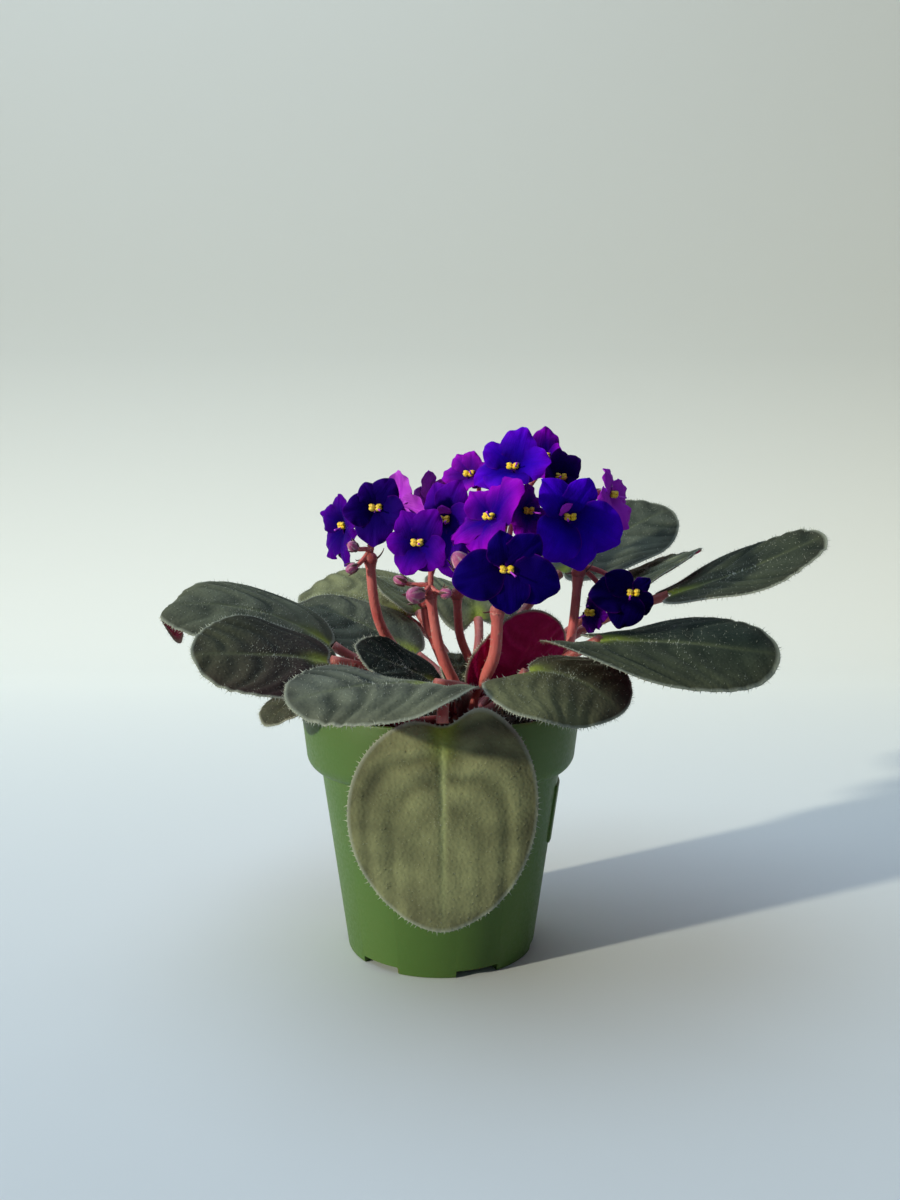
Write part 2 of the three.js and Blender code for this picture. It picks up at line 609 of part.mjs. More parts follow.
function add(name, geometry, material) {
  const mesh = new THREE.Mesh(geometry, material);
  mesh.name = name;
  plant.add(mesh);
}

add('pot', potGeometry(), FINISHES.pot);
add('soil', soilGeometry(), FINISHES.soil);
const blades = grownBlades();
add('crown', geometryOf(crownSolid(0, blades)), FINISHES.stem);
const grownCrown = crownSolid(GAP, []);
STALKS.forEach((stalk, index) => {
  const trimmed = clearOf(stalkSolid(stalk), [grownCrown, ...blades]);
  add(`flower_stalk_${index + 1}`, geometryOf(trimmed), FINISHES.stem);
});
LEAVES.forEach((leaf, index) => plant.add(leafMesh(leaf, index)));
BLOOMS.forEach((bloom, index) => plant.add(bloomMesh(bloom, index)));
BLOOMS.forEach((bloom, index) => plant.add(antherMesh(bloom, index)));

export default plant;
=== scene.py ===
# %% [markdown]
# # An African violet in flower, in a nursery pot
#
# This lesson dresses the measured solids of a pot plant: a plastic pot, its soil, a rosette of
# thick velvety leaves and six stalks of violet flowers. The solids already have the right size and
# place. Here each of them is replaced by a finer piece that keeps its form, and gets a material.
# Lengths in the tables are in millimetres, because that is how a small plant is measured, and the
# constant MM turns them into Blender's metres.

import math
import random

import bmesh
import bpy
from mathutils import Matrix, Vector, noise
from mathutils.geometry import interpolate_bezier


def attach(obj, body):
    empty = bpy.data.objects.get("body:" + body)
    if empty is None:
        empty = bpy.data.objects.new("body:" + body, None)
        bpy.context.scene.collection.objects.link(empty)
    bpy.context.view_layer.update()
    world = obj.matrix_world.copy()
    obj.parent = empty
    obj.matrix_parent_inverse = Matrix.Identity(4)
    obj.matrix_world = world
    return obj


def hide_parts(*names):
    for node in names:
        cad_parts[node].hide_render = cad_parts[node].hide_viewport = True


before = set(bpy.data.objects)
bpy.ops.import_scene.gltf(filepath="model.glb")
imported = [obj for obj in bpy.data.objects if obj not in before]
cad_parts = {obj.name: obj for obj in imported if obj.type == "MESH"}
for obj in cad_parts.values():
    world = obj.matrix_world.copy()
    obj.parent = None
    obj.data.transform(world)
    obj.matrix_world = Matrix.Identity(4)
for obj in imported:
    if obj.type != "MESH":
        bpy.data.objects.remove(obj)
MM = 0.001
scene = bpy.context.scene
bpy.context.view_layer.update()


def add_object(name, data):
    """Put a mesh, a lamp or a camera into the scene as an object."""
    made = bpy.data.objects.new(name, data)
    scene.collection.objects.link(made)
    return made


# %% [markdown]
# ## The camera
#
# A plant looks tall and close when the camera stands low and near. The lens is a moderate wide
# angle, tipped down five degrees from just above the leaves.

# %% Camera
CAMERA = {"lens": 30.15, "film": 36, "place": (0.00335, -0.3647, 0.1582), "tip": 0.086}
camera_data = bpy.data.cameras.new("camera")
camera_data.lens = CAMERA["lens"]
camera_data.sensor_width = CAMERA["film"]
camera = add_object("camera", camera_data)
camera.location = CAMERA["place"]
camera.rotation_euler = (math.pi / 2 - CAMERA["tip"], 0, 0)
scene.camera = camera
scene.view_settings.view_transform = "Standard"
print("camera at", CAMERA["place"], "tipped down by", round(math.degrees(CAMERA["tip"]), 1), "degrees")

# %% [markdown]
# ## The light
#
# One low sun from the left and a little in front gives the long soft shadow. The fill comes from
# above: a wide softbox hangs over the plant, slightly to the left, so level things get more of it
# than the shaded side of the pot. A dim sky keeps the darkest places readable. The sun is warm and
# the fill is cool, so the shadow turns slightly blue.

# %% Sun, softbox and sky
SUN = {"heading": 208.7, "height": 16.1, "energy": 3.1, "spread": 2.5, "colour": (1.0, 0.95, 0.74)}
SOFTBOX = {"place": (-0.5, 0.1, 1.5), "side": 1.8, "power": 18.8, "colour": (0.70, 0.84, 1.0)}
SKY = {"colour": (0.73, 0.85, 1.0, 1), "strength": 0.12}


def direction(heading, slope):
    """The unit vector with a heading from +X towards +Y and a slope from the level, in degrees."""
    heading, slope = math.radians(heading), math.radians(slope)
    level = math.cos(slope)
    return Vector((level * math.cos(heading), level * math.sin(heading), math.sin(slope)))


def add_light(name, kind, source, **settings):
    """A light that shines towards the origin from the side where the source lies."""
    lamp = bpy.data.lights.new(name, kind)
    for setting, value in settings.items():
        setattr(lamp, setting, value)
    light = add_object(name, lamp)
    light.rotation_euler = Vector(source).to_track_quat("Z", "Y").to_euler()
    return light


add_light("sun", "SUN", direction(SUN["heading"], SUN["height"]), energy=SUN["energy"],
          angle=math.radians(SUN["spread"]), color=SUN["colour"])
softbox = add_light("softbox", "AREA", SOFTBOX["place"], shape="SQUARE", size=SOFTBOX["side"],
                    energy=SOFTBOX["power"], color=SOFTBOX["colour"])
softbox.location = SOFTBOX["place"]

world = bpy.data.worlds.new("sky")
world.use_nodes = True
sky = world.node_tree.nodes["Background"]
sky.inputs["Color"].default_value = SKY["colour"]
sky.inputs["Strength"].default_value = SKY["strength"]
scene.world = world
print("sun from heading", SUN["heading"], "at", SUN["height"], "degrees")

# %% [markdown]
# ## Helpers for shader nodes
#
# Every material below is a small tree of nodes. `add_node` makes one node, sets its options and
# fills its inputs: an input is either a value or the output of another node. `new_material` starts
# a material with one Principled shader and sets what is the same all over it. `compute` and `remap`
# work on values, `blend` mixes two colours and `paint` gives the result to the shader.
# `object_place` is where a point lies on the piece, and `read_numbers` fetches what was written on
# its vertices.


# %% Node helpers
def fill(socket, value):
    """Give a socket a value, or link another node's output to it."""
    if isinstance(value, bpy.types.NodeSocket):
        socket.id_data.links.new(value, socket)
    else:
        socket.default_value = value


def add_node(tree, kind, inputs=None, **options):
    """Add a node, set its options, and fill its inputs."""
    made = tree.nodes.new(kind)
    for name, value in options.items():
        setattr(made, name, value)
    for name, value in (inputs or {}).items():
        fill(made.inputs[name], value)
    return made


def new_material(name, **settings):
    """A material with a Principled shader, and the values that are the same all over it."""
    material = bpy.data.materials.new(name)
    material.use_nodes = True
    shader = material.node_tree.nodes["Principled BSDF"]
    for socket, value in settings.items():
        shader.inputs[socket.replace("_", " ")].default_value = value
    return material, material.node_tree, shader


def compute(tree, operation, first, second, clamp=False):
    """One step of arithmetic on two values."""
    made = add_node(tree, "ShaderNodeMath", {0: first, 1: second}, operation=operation, use_clamp=clamp)
    return made.outputs[0]


def remap(tree, value, start, end, first=0.0, last=1.0):
    """A value carried over from the range start to end into the range first to last."""
    inputs = {"Value": value, "From Min": start, "From Max": end, "To Min": first, "To Max": last}
    return add_node(tree, "ShaderNodeMapRange", inputs).outputs["Result"]


def blend(tree, share, first, second, strength=None):
    """The colour that lies a share of the way, times a strength, from the first to the second."""
    if strength is not None:
        share = compute(tree, "MULTIPLY", share, strength)
    mix = add_node(tree, "ShaderNodeMix", data_type="RGBA")
    fill(mix.inputs[0], share)
    for socket, colour in zip((mix.inputs[6], mix.inputs[7]), (first, second)):
        fill(socket, colour if isinstance(colour, bpy.types.NodeSocket) else (*colour, 1))
    return mix.outputs[2]


def paint(tree, shader, colour):
    """Make a colour the shader's base colour."""
    tree.links.new(colour, shader.inputs["Base Color"])


def object_place(tree):
    """Where a point lies on its piece, in metres."""
    return add_node(tree, "ShaderNodeTexCoord").outputs["Object"]


def read_numbers(tree, name):
    """The four numbers that a colour attribute holds at each point."""
    attribute = add_node(tree, "ShaderNodeAttribute", attribute_name=name).outputs
    parts = add_node(tree, "ShaderNodeSeparateColor", {"Color": attribute["Color"]}).outputs
    return (*parts[:3], attribute["Alpha"])


print("helpers for shader nodes are ready")

# %% [markdown]
# ## Two effects that many materials share
#
# A living surface is never one colour. The group `mottle` puts out a soft cloudy value, and the
# group `flecks` puts out small scattered dots: short hairs on a leaf, grit on soil, dust on a pot.
# Both are built once as node groups and placed in each material with that material's own values.


# %% Node groups
def new_group(name, inputs, output):
    """A node group on object coordinates, with the given number inputs and one number output."""
    group = bpy.data.node_groups.new(name, "ShaderNodeTree")
    for socket, value in inputs.items():
        made = group.interface.new_socket(socket, in_out="INPUT", socket_type="NodeSocketFloat")
        made.default_value = value
    group.interface.new_socket(output, in_out="OUTPUT", socket_type="NodeSocketFloat")
    entry = group.nodes.new("NodeGroupInput")
    leave = group.nodes.new("NodeGroupOutput")
    return group, entry.outputs, leave.inputs[output]


mottle_group, given, result = new_group("mottle", {"Scale": 100, "Contrast": 2}, "Share")
clouds = add_node(mottle_group, "ShaderNodeTexNoise", {
    "Vector": object_place(mottle_group), "Scale": given["Scale"], "Detail": 4})
centred = compute(mottle_group, "SUBTRACT", clouds.outputs["Fac"], 0.5)
stretched = compute(mottle_group, "MULTIPLY", centred, given["Contrast"])
fill(result, compute(mottle_group, "ADD", stretched, 0.5, clamp=True))

DOT_SHARPNESS = 8.0
flecks_group, given, result = new_group("flecks", {"Scale": 800, "Size": 0.2}, "Mask")
dots = add_node(flecks_group, "ShaderNodeTexVoronoi", {
    "Vector": object_place(flecks_group), "Scale": given["Scale"]})
within = compute(flecks_group, "SUBTRACT", given["Size"], dots.outputs["Distance"])
fill(result, compute(flecks_group, "MULTIPLY", within, DOT_SHARPNESS, clamp=True))
print("node groups:", [group.name for group in bpy.data.node_groups])

# %% [markdown]
# ## Placing the effects
#
# `mottle` and `flecks` place a group in a material. `fibre_noise` is plain noise on coordinates
# that a material has drawn out first, which gives rings, streaks and veins. `roughen` turns a value
# into small bumps, too fine to be worth any geometry.


# %% Effects
def effect(tree, group, **values):
    """Place a shared effect in a material, with this material's own values."""
    made = add_node(tree, "ShaderNodeGroup", node_tree=group)
    for name, value in values.items():
        made.inputs[name].default_value = value
    return made.outputs[0]


def mottle(tree, scale, contrast):
    """Soft clouds, from 0 to 1."""
    return effect(tree, mottle_group, Scale=scale, Contrast=contrast)


def flecks(tree, scale, size):
    """Small dots of 1 on 0."""
    return effect(tree, flecks_group, Scale=scale, Size=size)


def fibre_noise(tree, drawn):
    """Noise one unit wide on coordinates that are already drawn out."""
    return add_node(tree, "ShaderNodeTexNoise", {"Vector": drawn, "Scale": 1.0, "Detail": 3}).outputs["Fac"]


def draw_out(tree, scale):
    """The object coordinates, drawn out by a scale for each axis."""
    mapping = add_node(tree, "ShaderNodeMapping", {"Vector": object_place(tree), "Scale": scale})
    return mapping.outputs["Vector"]


def roughen(tree, shader, height, distance, strength=1.0):
    """Feed a height, as many metres as the distance when it is 1, to the shader's normal."""
    bump = add_node(tree, "ShaderNodeBump", {"Height": height, "Distance": distance, "Strength": strength})
    tree.links.new(bump.outputs["Normal"], shader.inputs["Normal"])


print("effects ready: mottle, flecks, fibre_noise, roughen")

# %% [markdown]
# ## The backdrop
#
# The plant stands on a pale sweep: a sheet that lies flat, curves up behind and rises as a wall, so
# that no edge shows behind the leaves. A flat grid is enough. A formula rolls its far part up round
# a quarter circle. The paper's colour carries painted light: cooler and darker near the camera, a
# painted glow behind the plant, and painted shade greying the wall high up.

# %% Backdrop
SWEEP = {"half": 2.4, "flat_until": 0.62, "radius": 0.45, "steps": 96}
PAPER_AND_PAINTED_LIGHT = {"near": (0.62, 0.68, 0.74), "far": (0.92, 0.93, 0.87), "wall": (0.56, 0.58, 0.565)}
PAINTED_LIGHT_TURNS = {"far": (-0.25, 0.6), "wall": (0.55, 1.45)}

paper, tree, shader = new_material("pale_paper", Roughness=0.9, Specular_IOR_Level=0.2)
# Painted light: the paper brightens to a painted glow behind the plant and greys to painted shade up the
# wall.
axes = add_node(tree, "ShaderNodeSeparateXYZ", {"Vector": object_place(tree)})
back = compute(tree, "ADD", axes.outputs["Y"], axes.outputs["Z"])
painted_glow = blend(tree, remap(tree, back, *PAINTED_LIGHT_TURNS["far"]), PAPER_AND_PAINTED_LIGHT["near"], PAPER_AND_PAINTED_LIGHT["far"])
paint(tree, shader, blend(tree, remap(tree, back, *PAINTED_LIGHT_TURNS["wall"]), painted_glow, PAPER_AND_PAINTED_LIGHT["wall"]))
roughen(tree, shader, mottle(tree, 25, 1), 0.0004, 0.3)


def keep_mesh(bm, name):
    """Write a bmesh out as a mesh, and free it."""
    mesh = bpy.data.meshes.new(name)
    bm.to_mesh(mesh)
    bm.free()
    return mesh


bm = bmesh.new()
bmesh.ops.create_grid(bm, x_segments=8, y_segments=SWEEP["steps"], size=SWEEP["half"])
for vert in bm.verts:
    past = vert.co.y - SWEEP["flat_until"]
    if past > 0:
        turn = min(past / SWEEP["radius"], math.pi / 2)
        rest = max(past - SWEEP["radius"] * math.pi / 2, 0)
        vert.co.y = SWEEP["flat_until"] + SWEEP["radius"] * math.sin(turn)
        vert.co.z = SWEEP["radius"] * (1 - math.cos(turn)) + rest
backdrop_mesh = keep_mesh(bm, "backdrop")
backdrop_mesh.shade_smooth()
backdrop_mesh.materials.append(paper)
backdrop = add_object("backdrop", backdrop_mesh)
print("backdrop faces:", len(backdrop_mesh.polygons))

# %% [markdown]
# ## Finishing a piece
#
# Every piece of the plant is made in a bmesh in millimetres and ends the same way: it is scaled to
# metres, becomes an object at the origin, gets its materials, rides on the plant and stands for the
# measured solids that it replaces. Sharp edges stay sharp where two faces meet at a steep angle.


# %% Finish a piece
def finish_piece(name, bm, materials, nodes, sharp=180):
    """Make an object of a bmesh in millimetres, in place of the named solids."""
    bmesh.ops.scale(bm, vec=(MM, MM, MM), verts=bm.verts)
    mesh = keep_mesh(bm, name)
    for material in materials:
        mesh.materials.append(material)
    mesh.shade_smooth()
    mesh.set_sharp_from_angle(angle=math.radians(sharp))
    piece = add_object(name, mesh)
    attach(piece, "root")
    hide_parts(*nodes)
    return piece


def clamp(value):
    """The value, kept from 0 to 1."""
    return min(max(value, 0), 1)


print("pieces are finished by finish_piece")

# %% [markdown]
# ## The pot's section
#
# A nursery pot is one thin shell of moulded polypropylene: a body that widens upwards, a rounded
# shoulder, and a stiff band round the rim. It could be stacked up from cylinders and bevelled, but
# a half section spun about the axis gives every curve and the wall at once. The outer skin runs from
# the middle of the base up to the lip, and the inner skin runs back down to the floor.

# %% Pot section
POT = {"height": 90, "rim": 51, "rim_foot": 49, "rim_foot_height": 73, "body_top": 43.7,
       "body_top_height": 66.7, "base": 34.4, "wall": 1.5, "floor": 2.2, "sides": 180}
# Points as (how far in from the widest radius, height).
BASE_EDGE = [(0.8, 0), (0.25, 0.25), (0, 0.8)]
LIP = [(0.03, 89.3), (0.2, 89.8), (0.6, 90), (1.2, 90), (1.5, 89.6)]
FLOOR_EDGE = {"out": 1, "up": 0.8}


def wall_radius(height):
    """The outer radius of the pot at a height."""
    if height > POT["rim_foot_height"]:
        up = (height - POT["rim_foot_height"]) / (POT["height"] - POT["rim_foot_height"])
        return POT["rim_foot"] + up * (POT["rim"] - POT["rim_foot"])
    return POT["base"] + height / POT["body_top_height"] * (POT["body_top"] - POT["base"])


def shoulder(inset, steps=8):
    """The quarter ellipse from the body out to the foot of the rim band."""
    points = []
    for step in range(steps + 1):
        angle = math.pi / 2 * step / steps
        out = (POT["rim_foot"] - POT["body_top"]) * math.sin(angle)
        rise = (POT["rim_foot_height"] - POT["body_top_height"]) * (1 - math.cos(angle))
        points.append((POT["body_top"] - inset + out, POT["body_top_height"] + rise))
    return points


def spin_section(bm, section, steps):
    """Spin a chain of (radius, height) points about Z, and close its seam and its poles."""
    verts = [bm.verts.new((radius, 0, height)) for radius, height in section]
    edges = [bm.edges.new(pair) for pair in zip(verts, verts[1:])]
    bmesh.ops.spin(bm, geom=verts + edges, cent=(0, 0, 0), axis=(0, 0, 1), angle=2 * math.pi,
                   steps=steps, use_merge=True)
    bmesh.ops.remove_doubles(bm, verts=bm.verts, dist=1e-4)
    bmesh.ops.recalc_face_normals(bm, faces=bm.faces)


wall_foot = POT["floor"] + FLOOR_EDGE["up"]
outer_skin = [(0, 0), *((POT["base"] - inset, height) for inset, height in BASE_EDGE), *shoulder(0)]
lip = [(POT["rim"] - inset, height) for inset, height in LIP]
inner_skin = [*reversed(shoulder(POT["wall"])), (wall_radius(wall_foot) - POT["wall"], wall_foot),
              (wall_radius(POT["floor"]) - POT["wall"] - FLOOR_EDGE["out"], POT["floor"]),
              (0, POT["floor"])]
bm = bmesh.new()
spin_section(bm, outer_skin + lip + inner_skin, POT["sides"])
shell = add_object("shell", keep_mesh(bm, "shell"))
print("shell faces:", len(shell.data.polygons))

# %% [markdown]
# ## Drain notches and the side pad
#
# Six notches in the foot let water out, and one side carries a flat raised pad. Neither follows the
# spin, so each is made as a solid of its own. A notch is a cube with its short edges rounded. The
# pad is a strip of the wall's own section, spun through a small angle, closed and bevelled.

# %% Notches and pad
DRAIN = {"count": 6, "first": -68, "width": 15.5, "depth": 7, "height": 2.6, "proud": 1.5, "round": 0.5}
PAD = {"low": 40, "high": 61, "middle": 50, "width": 24, "proud": 0.8, "root": -1.0, "steps": 14,
       "round": 0.35}


def round_edges(bm, edges, offset):
    """Round the given edges off with three segments."""
    bmesh.ops.bevel(bm, geom=edges, offset=offset, segments=3, profile=0.5, affect="EDGES", material=-1)


bm = bmesh.new()
for number in range(DRAIN["count"]):
    turn = Matrix.Rotation(math.radians(DRAIN["first"] + 360 / DRAIN["count"] * number), 4, "Z")
    middle = Matrix.Translation((POT["base"] + DRAIN["proud"] - DRAIN["depth"] / 2, 0, 0))
    size = Matrix.Diagonal((DRAIN["depth"], DRAIN["width"], 2 * DRAIN["height"], 1))
    bmesh.ops.create_cube(bm, size=1, matrix=turn @ middle @ size)
short = [edge for edge in bm.edges
         if max(vert.co.z for vert in edge.verts) > 0 and edge.calc_length() < DRAIN["depth"] + 1]
round_edges(bm, short, DRAIN["round"])
notches = add_object("notches", keep_mesh(bm, "notches"))

bm = bmesh.new()
corners = [(PAD["low"], PAD["root"]), (PAD["low"], PAD["proud"]),
           (PAD["high"], PAD["proud"]), (PAD["high"], PAD["root"])]
span = 2 * math.asin(PAD["width"] / 2 / wall_radius(PAD["middle"]))
verts = [bm.verts.new((wall_radius(height) + proud, 0, height)) for height, proud in corners]
edges = [bm.edges.new(pair) for pair in zip(verts, verts[1:] + verts[:1])]
bmesh.ops.rotate(bm, verts=verts, cent=(0, 0, 0), matrix=Matrix.Rotation(-span / 2, 3, "Z"))
bmesh.ops.spin(bm, geom=verts + edges, cent=(0, 0, 0), axis=(0, 0, 1), angle=span, steps=PAD["steps"])
bmesh.ops.holes_fill(bm, edges=[edge for edge in bm.edges if edge.is_boundary], sides=4)
bmesh.ops.recalc_face_normals(bm, faces=bm.faces)
round_edges(bm, [edge for edge in bm.edges if edge.calc_face_angle(0) > 1], PAD["round"])
pad = add_object("pad", keep_mesh(bm, "pad"))
print("faces of the notches and the pad:", len(notches.data.polygons), len(pad.data.polygons))

# %% [markdown]
# ## Cutting and joining
#
# Boolean modifiers suit such hard-edged forms: one takes the notches away and one adds the pad. The
# result is read back into a bmesh, and the three helper objects are removed.

# %% Cut and join
for tool, operation in ((notches, "DIFFERENCE"), (pad, "UNION")):
    boolean = shell.modifiers.new(tool.name, "BOOLEAN")
    boolean.operation = operation
    boolean.object = tool
    boolean.solver = "EXACT"
bpy.context.view_layer.update()
pot_bm = bmesh.new()
pot_bm.from_object(shell, bpy.context.evaluated_depsgraph_get())
for leftover in (shell, notches, pad):
    bpy.data.objects.remove(leftover)
print("pot faces:", len(pot_bm.faces))

# %% [markdown]
# ## The pot's plastic
#
# Cheap green polypropylene is satin rather than glossy. Light wanders in it, so the colour drifts a
# little, faint rings show where the mould filled, and handling leaves dust and small scuffs.

# %% Pot plastic
GREENS = {"deep": (0.063, 0.135, 0.026), "light": (0.084, 0.155, 0.035), "ring": (0.054, 0.116, 0.022),
          "dust": (0.26, 0.30, 0.19)}
RING_SCALE = (6, 6, 260)
SATIN = (0.38, 0.55)
plastic, tree, shader = new_material("green_plastic", Specular_IOR_Level=0.3, IOR=1.45,
                                     Subsurface_Weight=0.08, Subsurface_Scale=0.004)
rings = fibre_noise(tree, draw_out(tree, RING_SCALE))
scuffs = mottle(tree, 900, 3)
green = blend(tree, mottle(tree, 28, 1.6), GREENS["deep"], GREENS["light"])
ringed = blend(tree, rings, green, GREENS["ring"], 0.25)
paint(tree, shader, blend(tree, flecks(tree, 420, 0.09), ringed, GREENS["dust"], 0.25))
tree.links.new(remap(tree, scuffs, 0.0, 1.0, *SATIN), shader.inputs["Roughness"])
roughen(tree, shader, compute(tree, "ADD", rings, compute(tree, "MULTIPLY", scuffs, 0.1)), 0.00012)
pot = finish_piece("pot_shell", pot_bm, [plastic], ["pot"], sharp=28)
print("pot in place, faces:", len(pot.data.polygons))

# %% [markdown]
# ## The bed of soil
#
# Potting mix is dark peat with crumbs of bark and white grains of perlite. The bed is a spun disc
# with sides that follow the pot's inner wall, and noise roughens its top. Displacement in the
# material would do for the middle, but not where the edge shows against the rim.

# %% Soil bed
SOIL = {"top": 80, "inset": 0.5, "foot": 2.5, "rings": 26, "sides": 110, "highest": 0.7}
CROWN = {"x": 9, "y": -3}


def soil_height(x, y):
    """The height of the bed, with the slow waves that the measured solid has."""
    coarse = math.sin(0.21 * x + 1.3) * math.cos(0.17 * y + 0.4)
    return SOIL["top"] + 0.7 * coarse + 0.3 * math.sin(0.47 * x - 0.33 * y)


clear = POT["wall"] + SOIL["inset"]
edge = wall_radius(SOIL["top"]) - clear
section = [(0, SOIL["foot"]), (wall_radius(POT["floor"]) - clear, SOIL["foot"]), *shoulder(clear, 5),
           (edge, SOIL["top"])]
section += [(edge * (1 - step / SOIL["rings"]), SOIL["top"]) for step in range(1, SOIL["rings"] + 1)]
soil_bm = bmesh.new()
spin_section(soil_bm, section, SOIL["sides"])
for vert in soil_bm.verts:
    if vert.co.z > SOIL["top"] - 0.01:
        grain = noise.noise(vert.co * 0.7) * 0.7 + noise.noise(vert.co * 0.25) * 0.5
        vert.co.z = soil_height(vert.co.x, vert.co.y) + min(grain, SOIL["highest"])
print("faces of the bed:", len(soil_bm.faces))

# %% [markdown]
# ## Crumbs and perlite
#
# The crumbs are small spheres of few faces, squashed, turned at random and half sunk in the bed. A
# fixed seed places them the same way each time. None lies where the plant's stem comes out.

# %% Crumbs
CRUMBS = {"tries": 760, "stem_radius": 7, "white_share": 0.14, "white": (0.5, 1.1), "brown": (0.45, 1.3),
          "long": (0.8, 1.9), "flat": (0.5, 0.9), "lift": 0.15, "dents": 0.16, "seed": 4}
chance = random.Random(CRUMBS["seed"])
for _ in range(CRUMBS["tries"]):
    heading, reach = chance.uniform(0, 2 * math.pi), math.sqrt(chance.random()) * (edge - 1.5)
    x, y = reach * math.cos(heading), reach * math.sin(heading)
    if math.hypot(x - CROWN["x"], y - CROWN["y"]) < CRUMBS["stem_radius"]:
        continue
    white = chance.random() < CRUMBS["white_share"]
    size = chance.uniform(*CRUMBS["white" if white else "brown"])
    angle, axis = chance.uniform(0, 6), Vector([chance.uniform(-1, 1) for _ in range(3)]).normalized()
    stretch = Matrix.Diagonal((size * chance.uniform(*CRUMBS["long"]), size,
                               size * chance.uniform(*CRUMBS["flat"]), 1))
    middle = Matrix.Translation((x, y, soil_height(x, y) + CRUMBS["lift"] * size))
    crumb = bmesh.ops.create_icosphere(soil_bm, subdivisions=1, radius=1,
                                       matrix=middle @ Matrix.Rotation(angle, 4, axis) @ stretch)
    for vert in crumb["verts"]:
        vert.co += Vector([chance.uniform(-CRUMBS["dents"], CRUMBS["dents"]) * size for _ in range(3)])
        for face in vert.link_faces:
            face.material_index = 1 if white else 0
print("faces with crumbs:", len(soil_bm.faces))

# %% [markdown]
# ## Peat and perlite
#
# Damp peat is nearly black, with browner flecks of bark, and it doesn't shine. Perlite is a chalky
# glass foam. Both are noise on noise, and neither needs more than a colour and a bump.

# %% Soil materials
PEAT = {"wet": (0.010, 0.007, 0.005), "dry": (0.045, 0.028, 0.018), "bark": (0.085, 0.05, 0.03)}
CHALK = {"grey": (0.5, 0.47, 0.42), "white": (0.75, 0.74, 0.7)}
peat, tree, shader = new_material("peat", Roughness=0.95, Specular_IOR_Level=0.25)
brown = blend(tree, mottle(tree, 240, 2.4), PEAT["wet"], PEAT["dry"])
paint(tree, shader, blend(tree, flecks(tree, 500, 0.22), brown, PEAT["bark"]))
roughen(tree, shader, mottle(tree, 900, 3), 0.0006)
perlite, tree, shader = new_material("perlite", Roughness=0.85)
paint(tree, shader, blend(tree, mottle(tree, 700, 2), CHALK["grey"], CHALK["white"]))
roughen(tree, shader, mottle(tree, 2000, 2), 0.0003)
soil = finish_piece("soil_bed", soil_bm, [peat, perlite], ["soil"])
print("soil in place, faces:", len(soil.data.polygons))
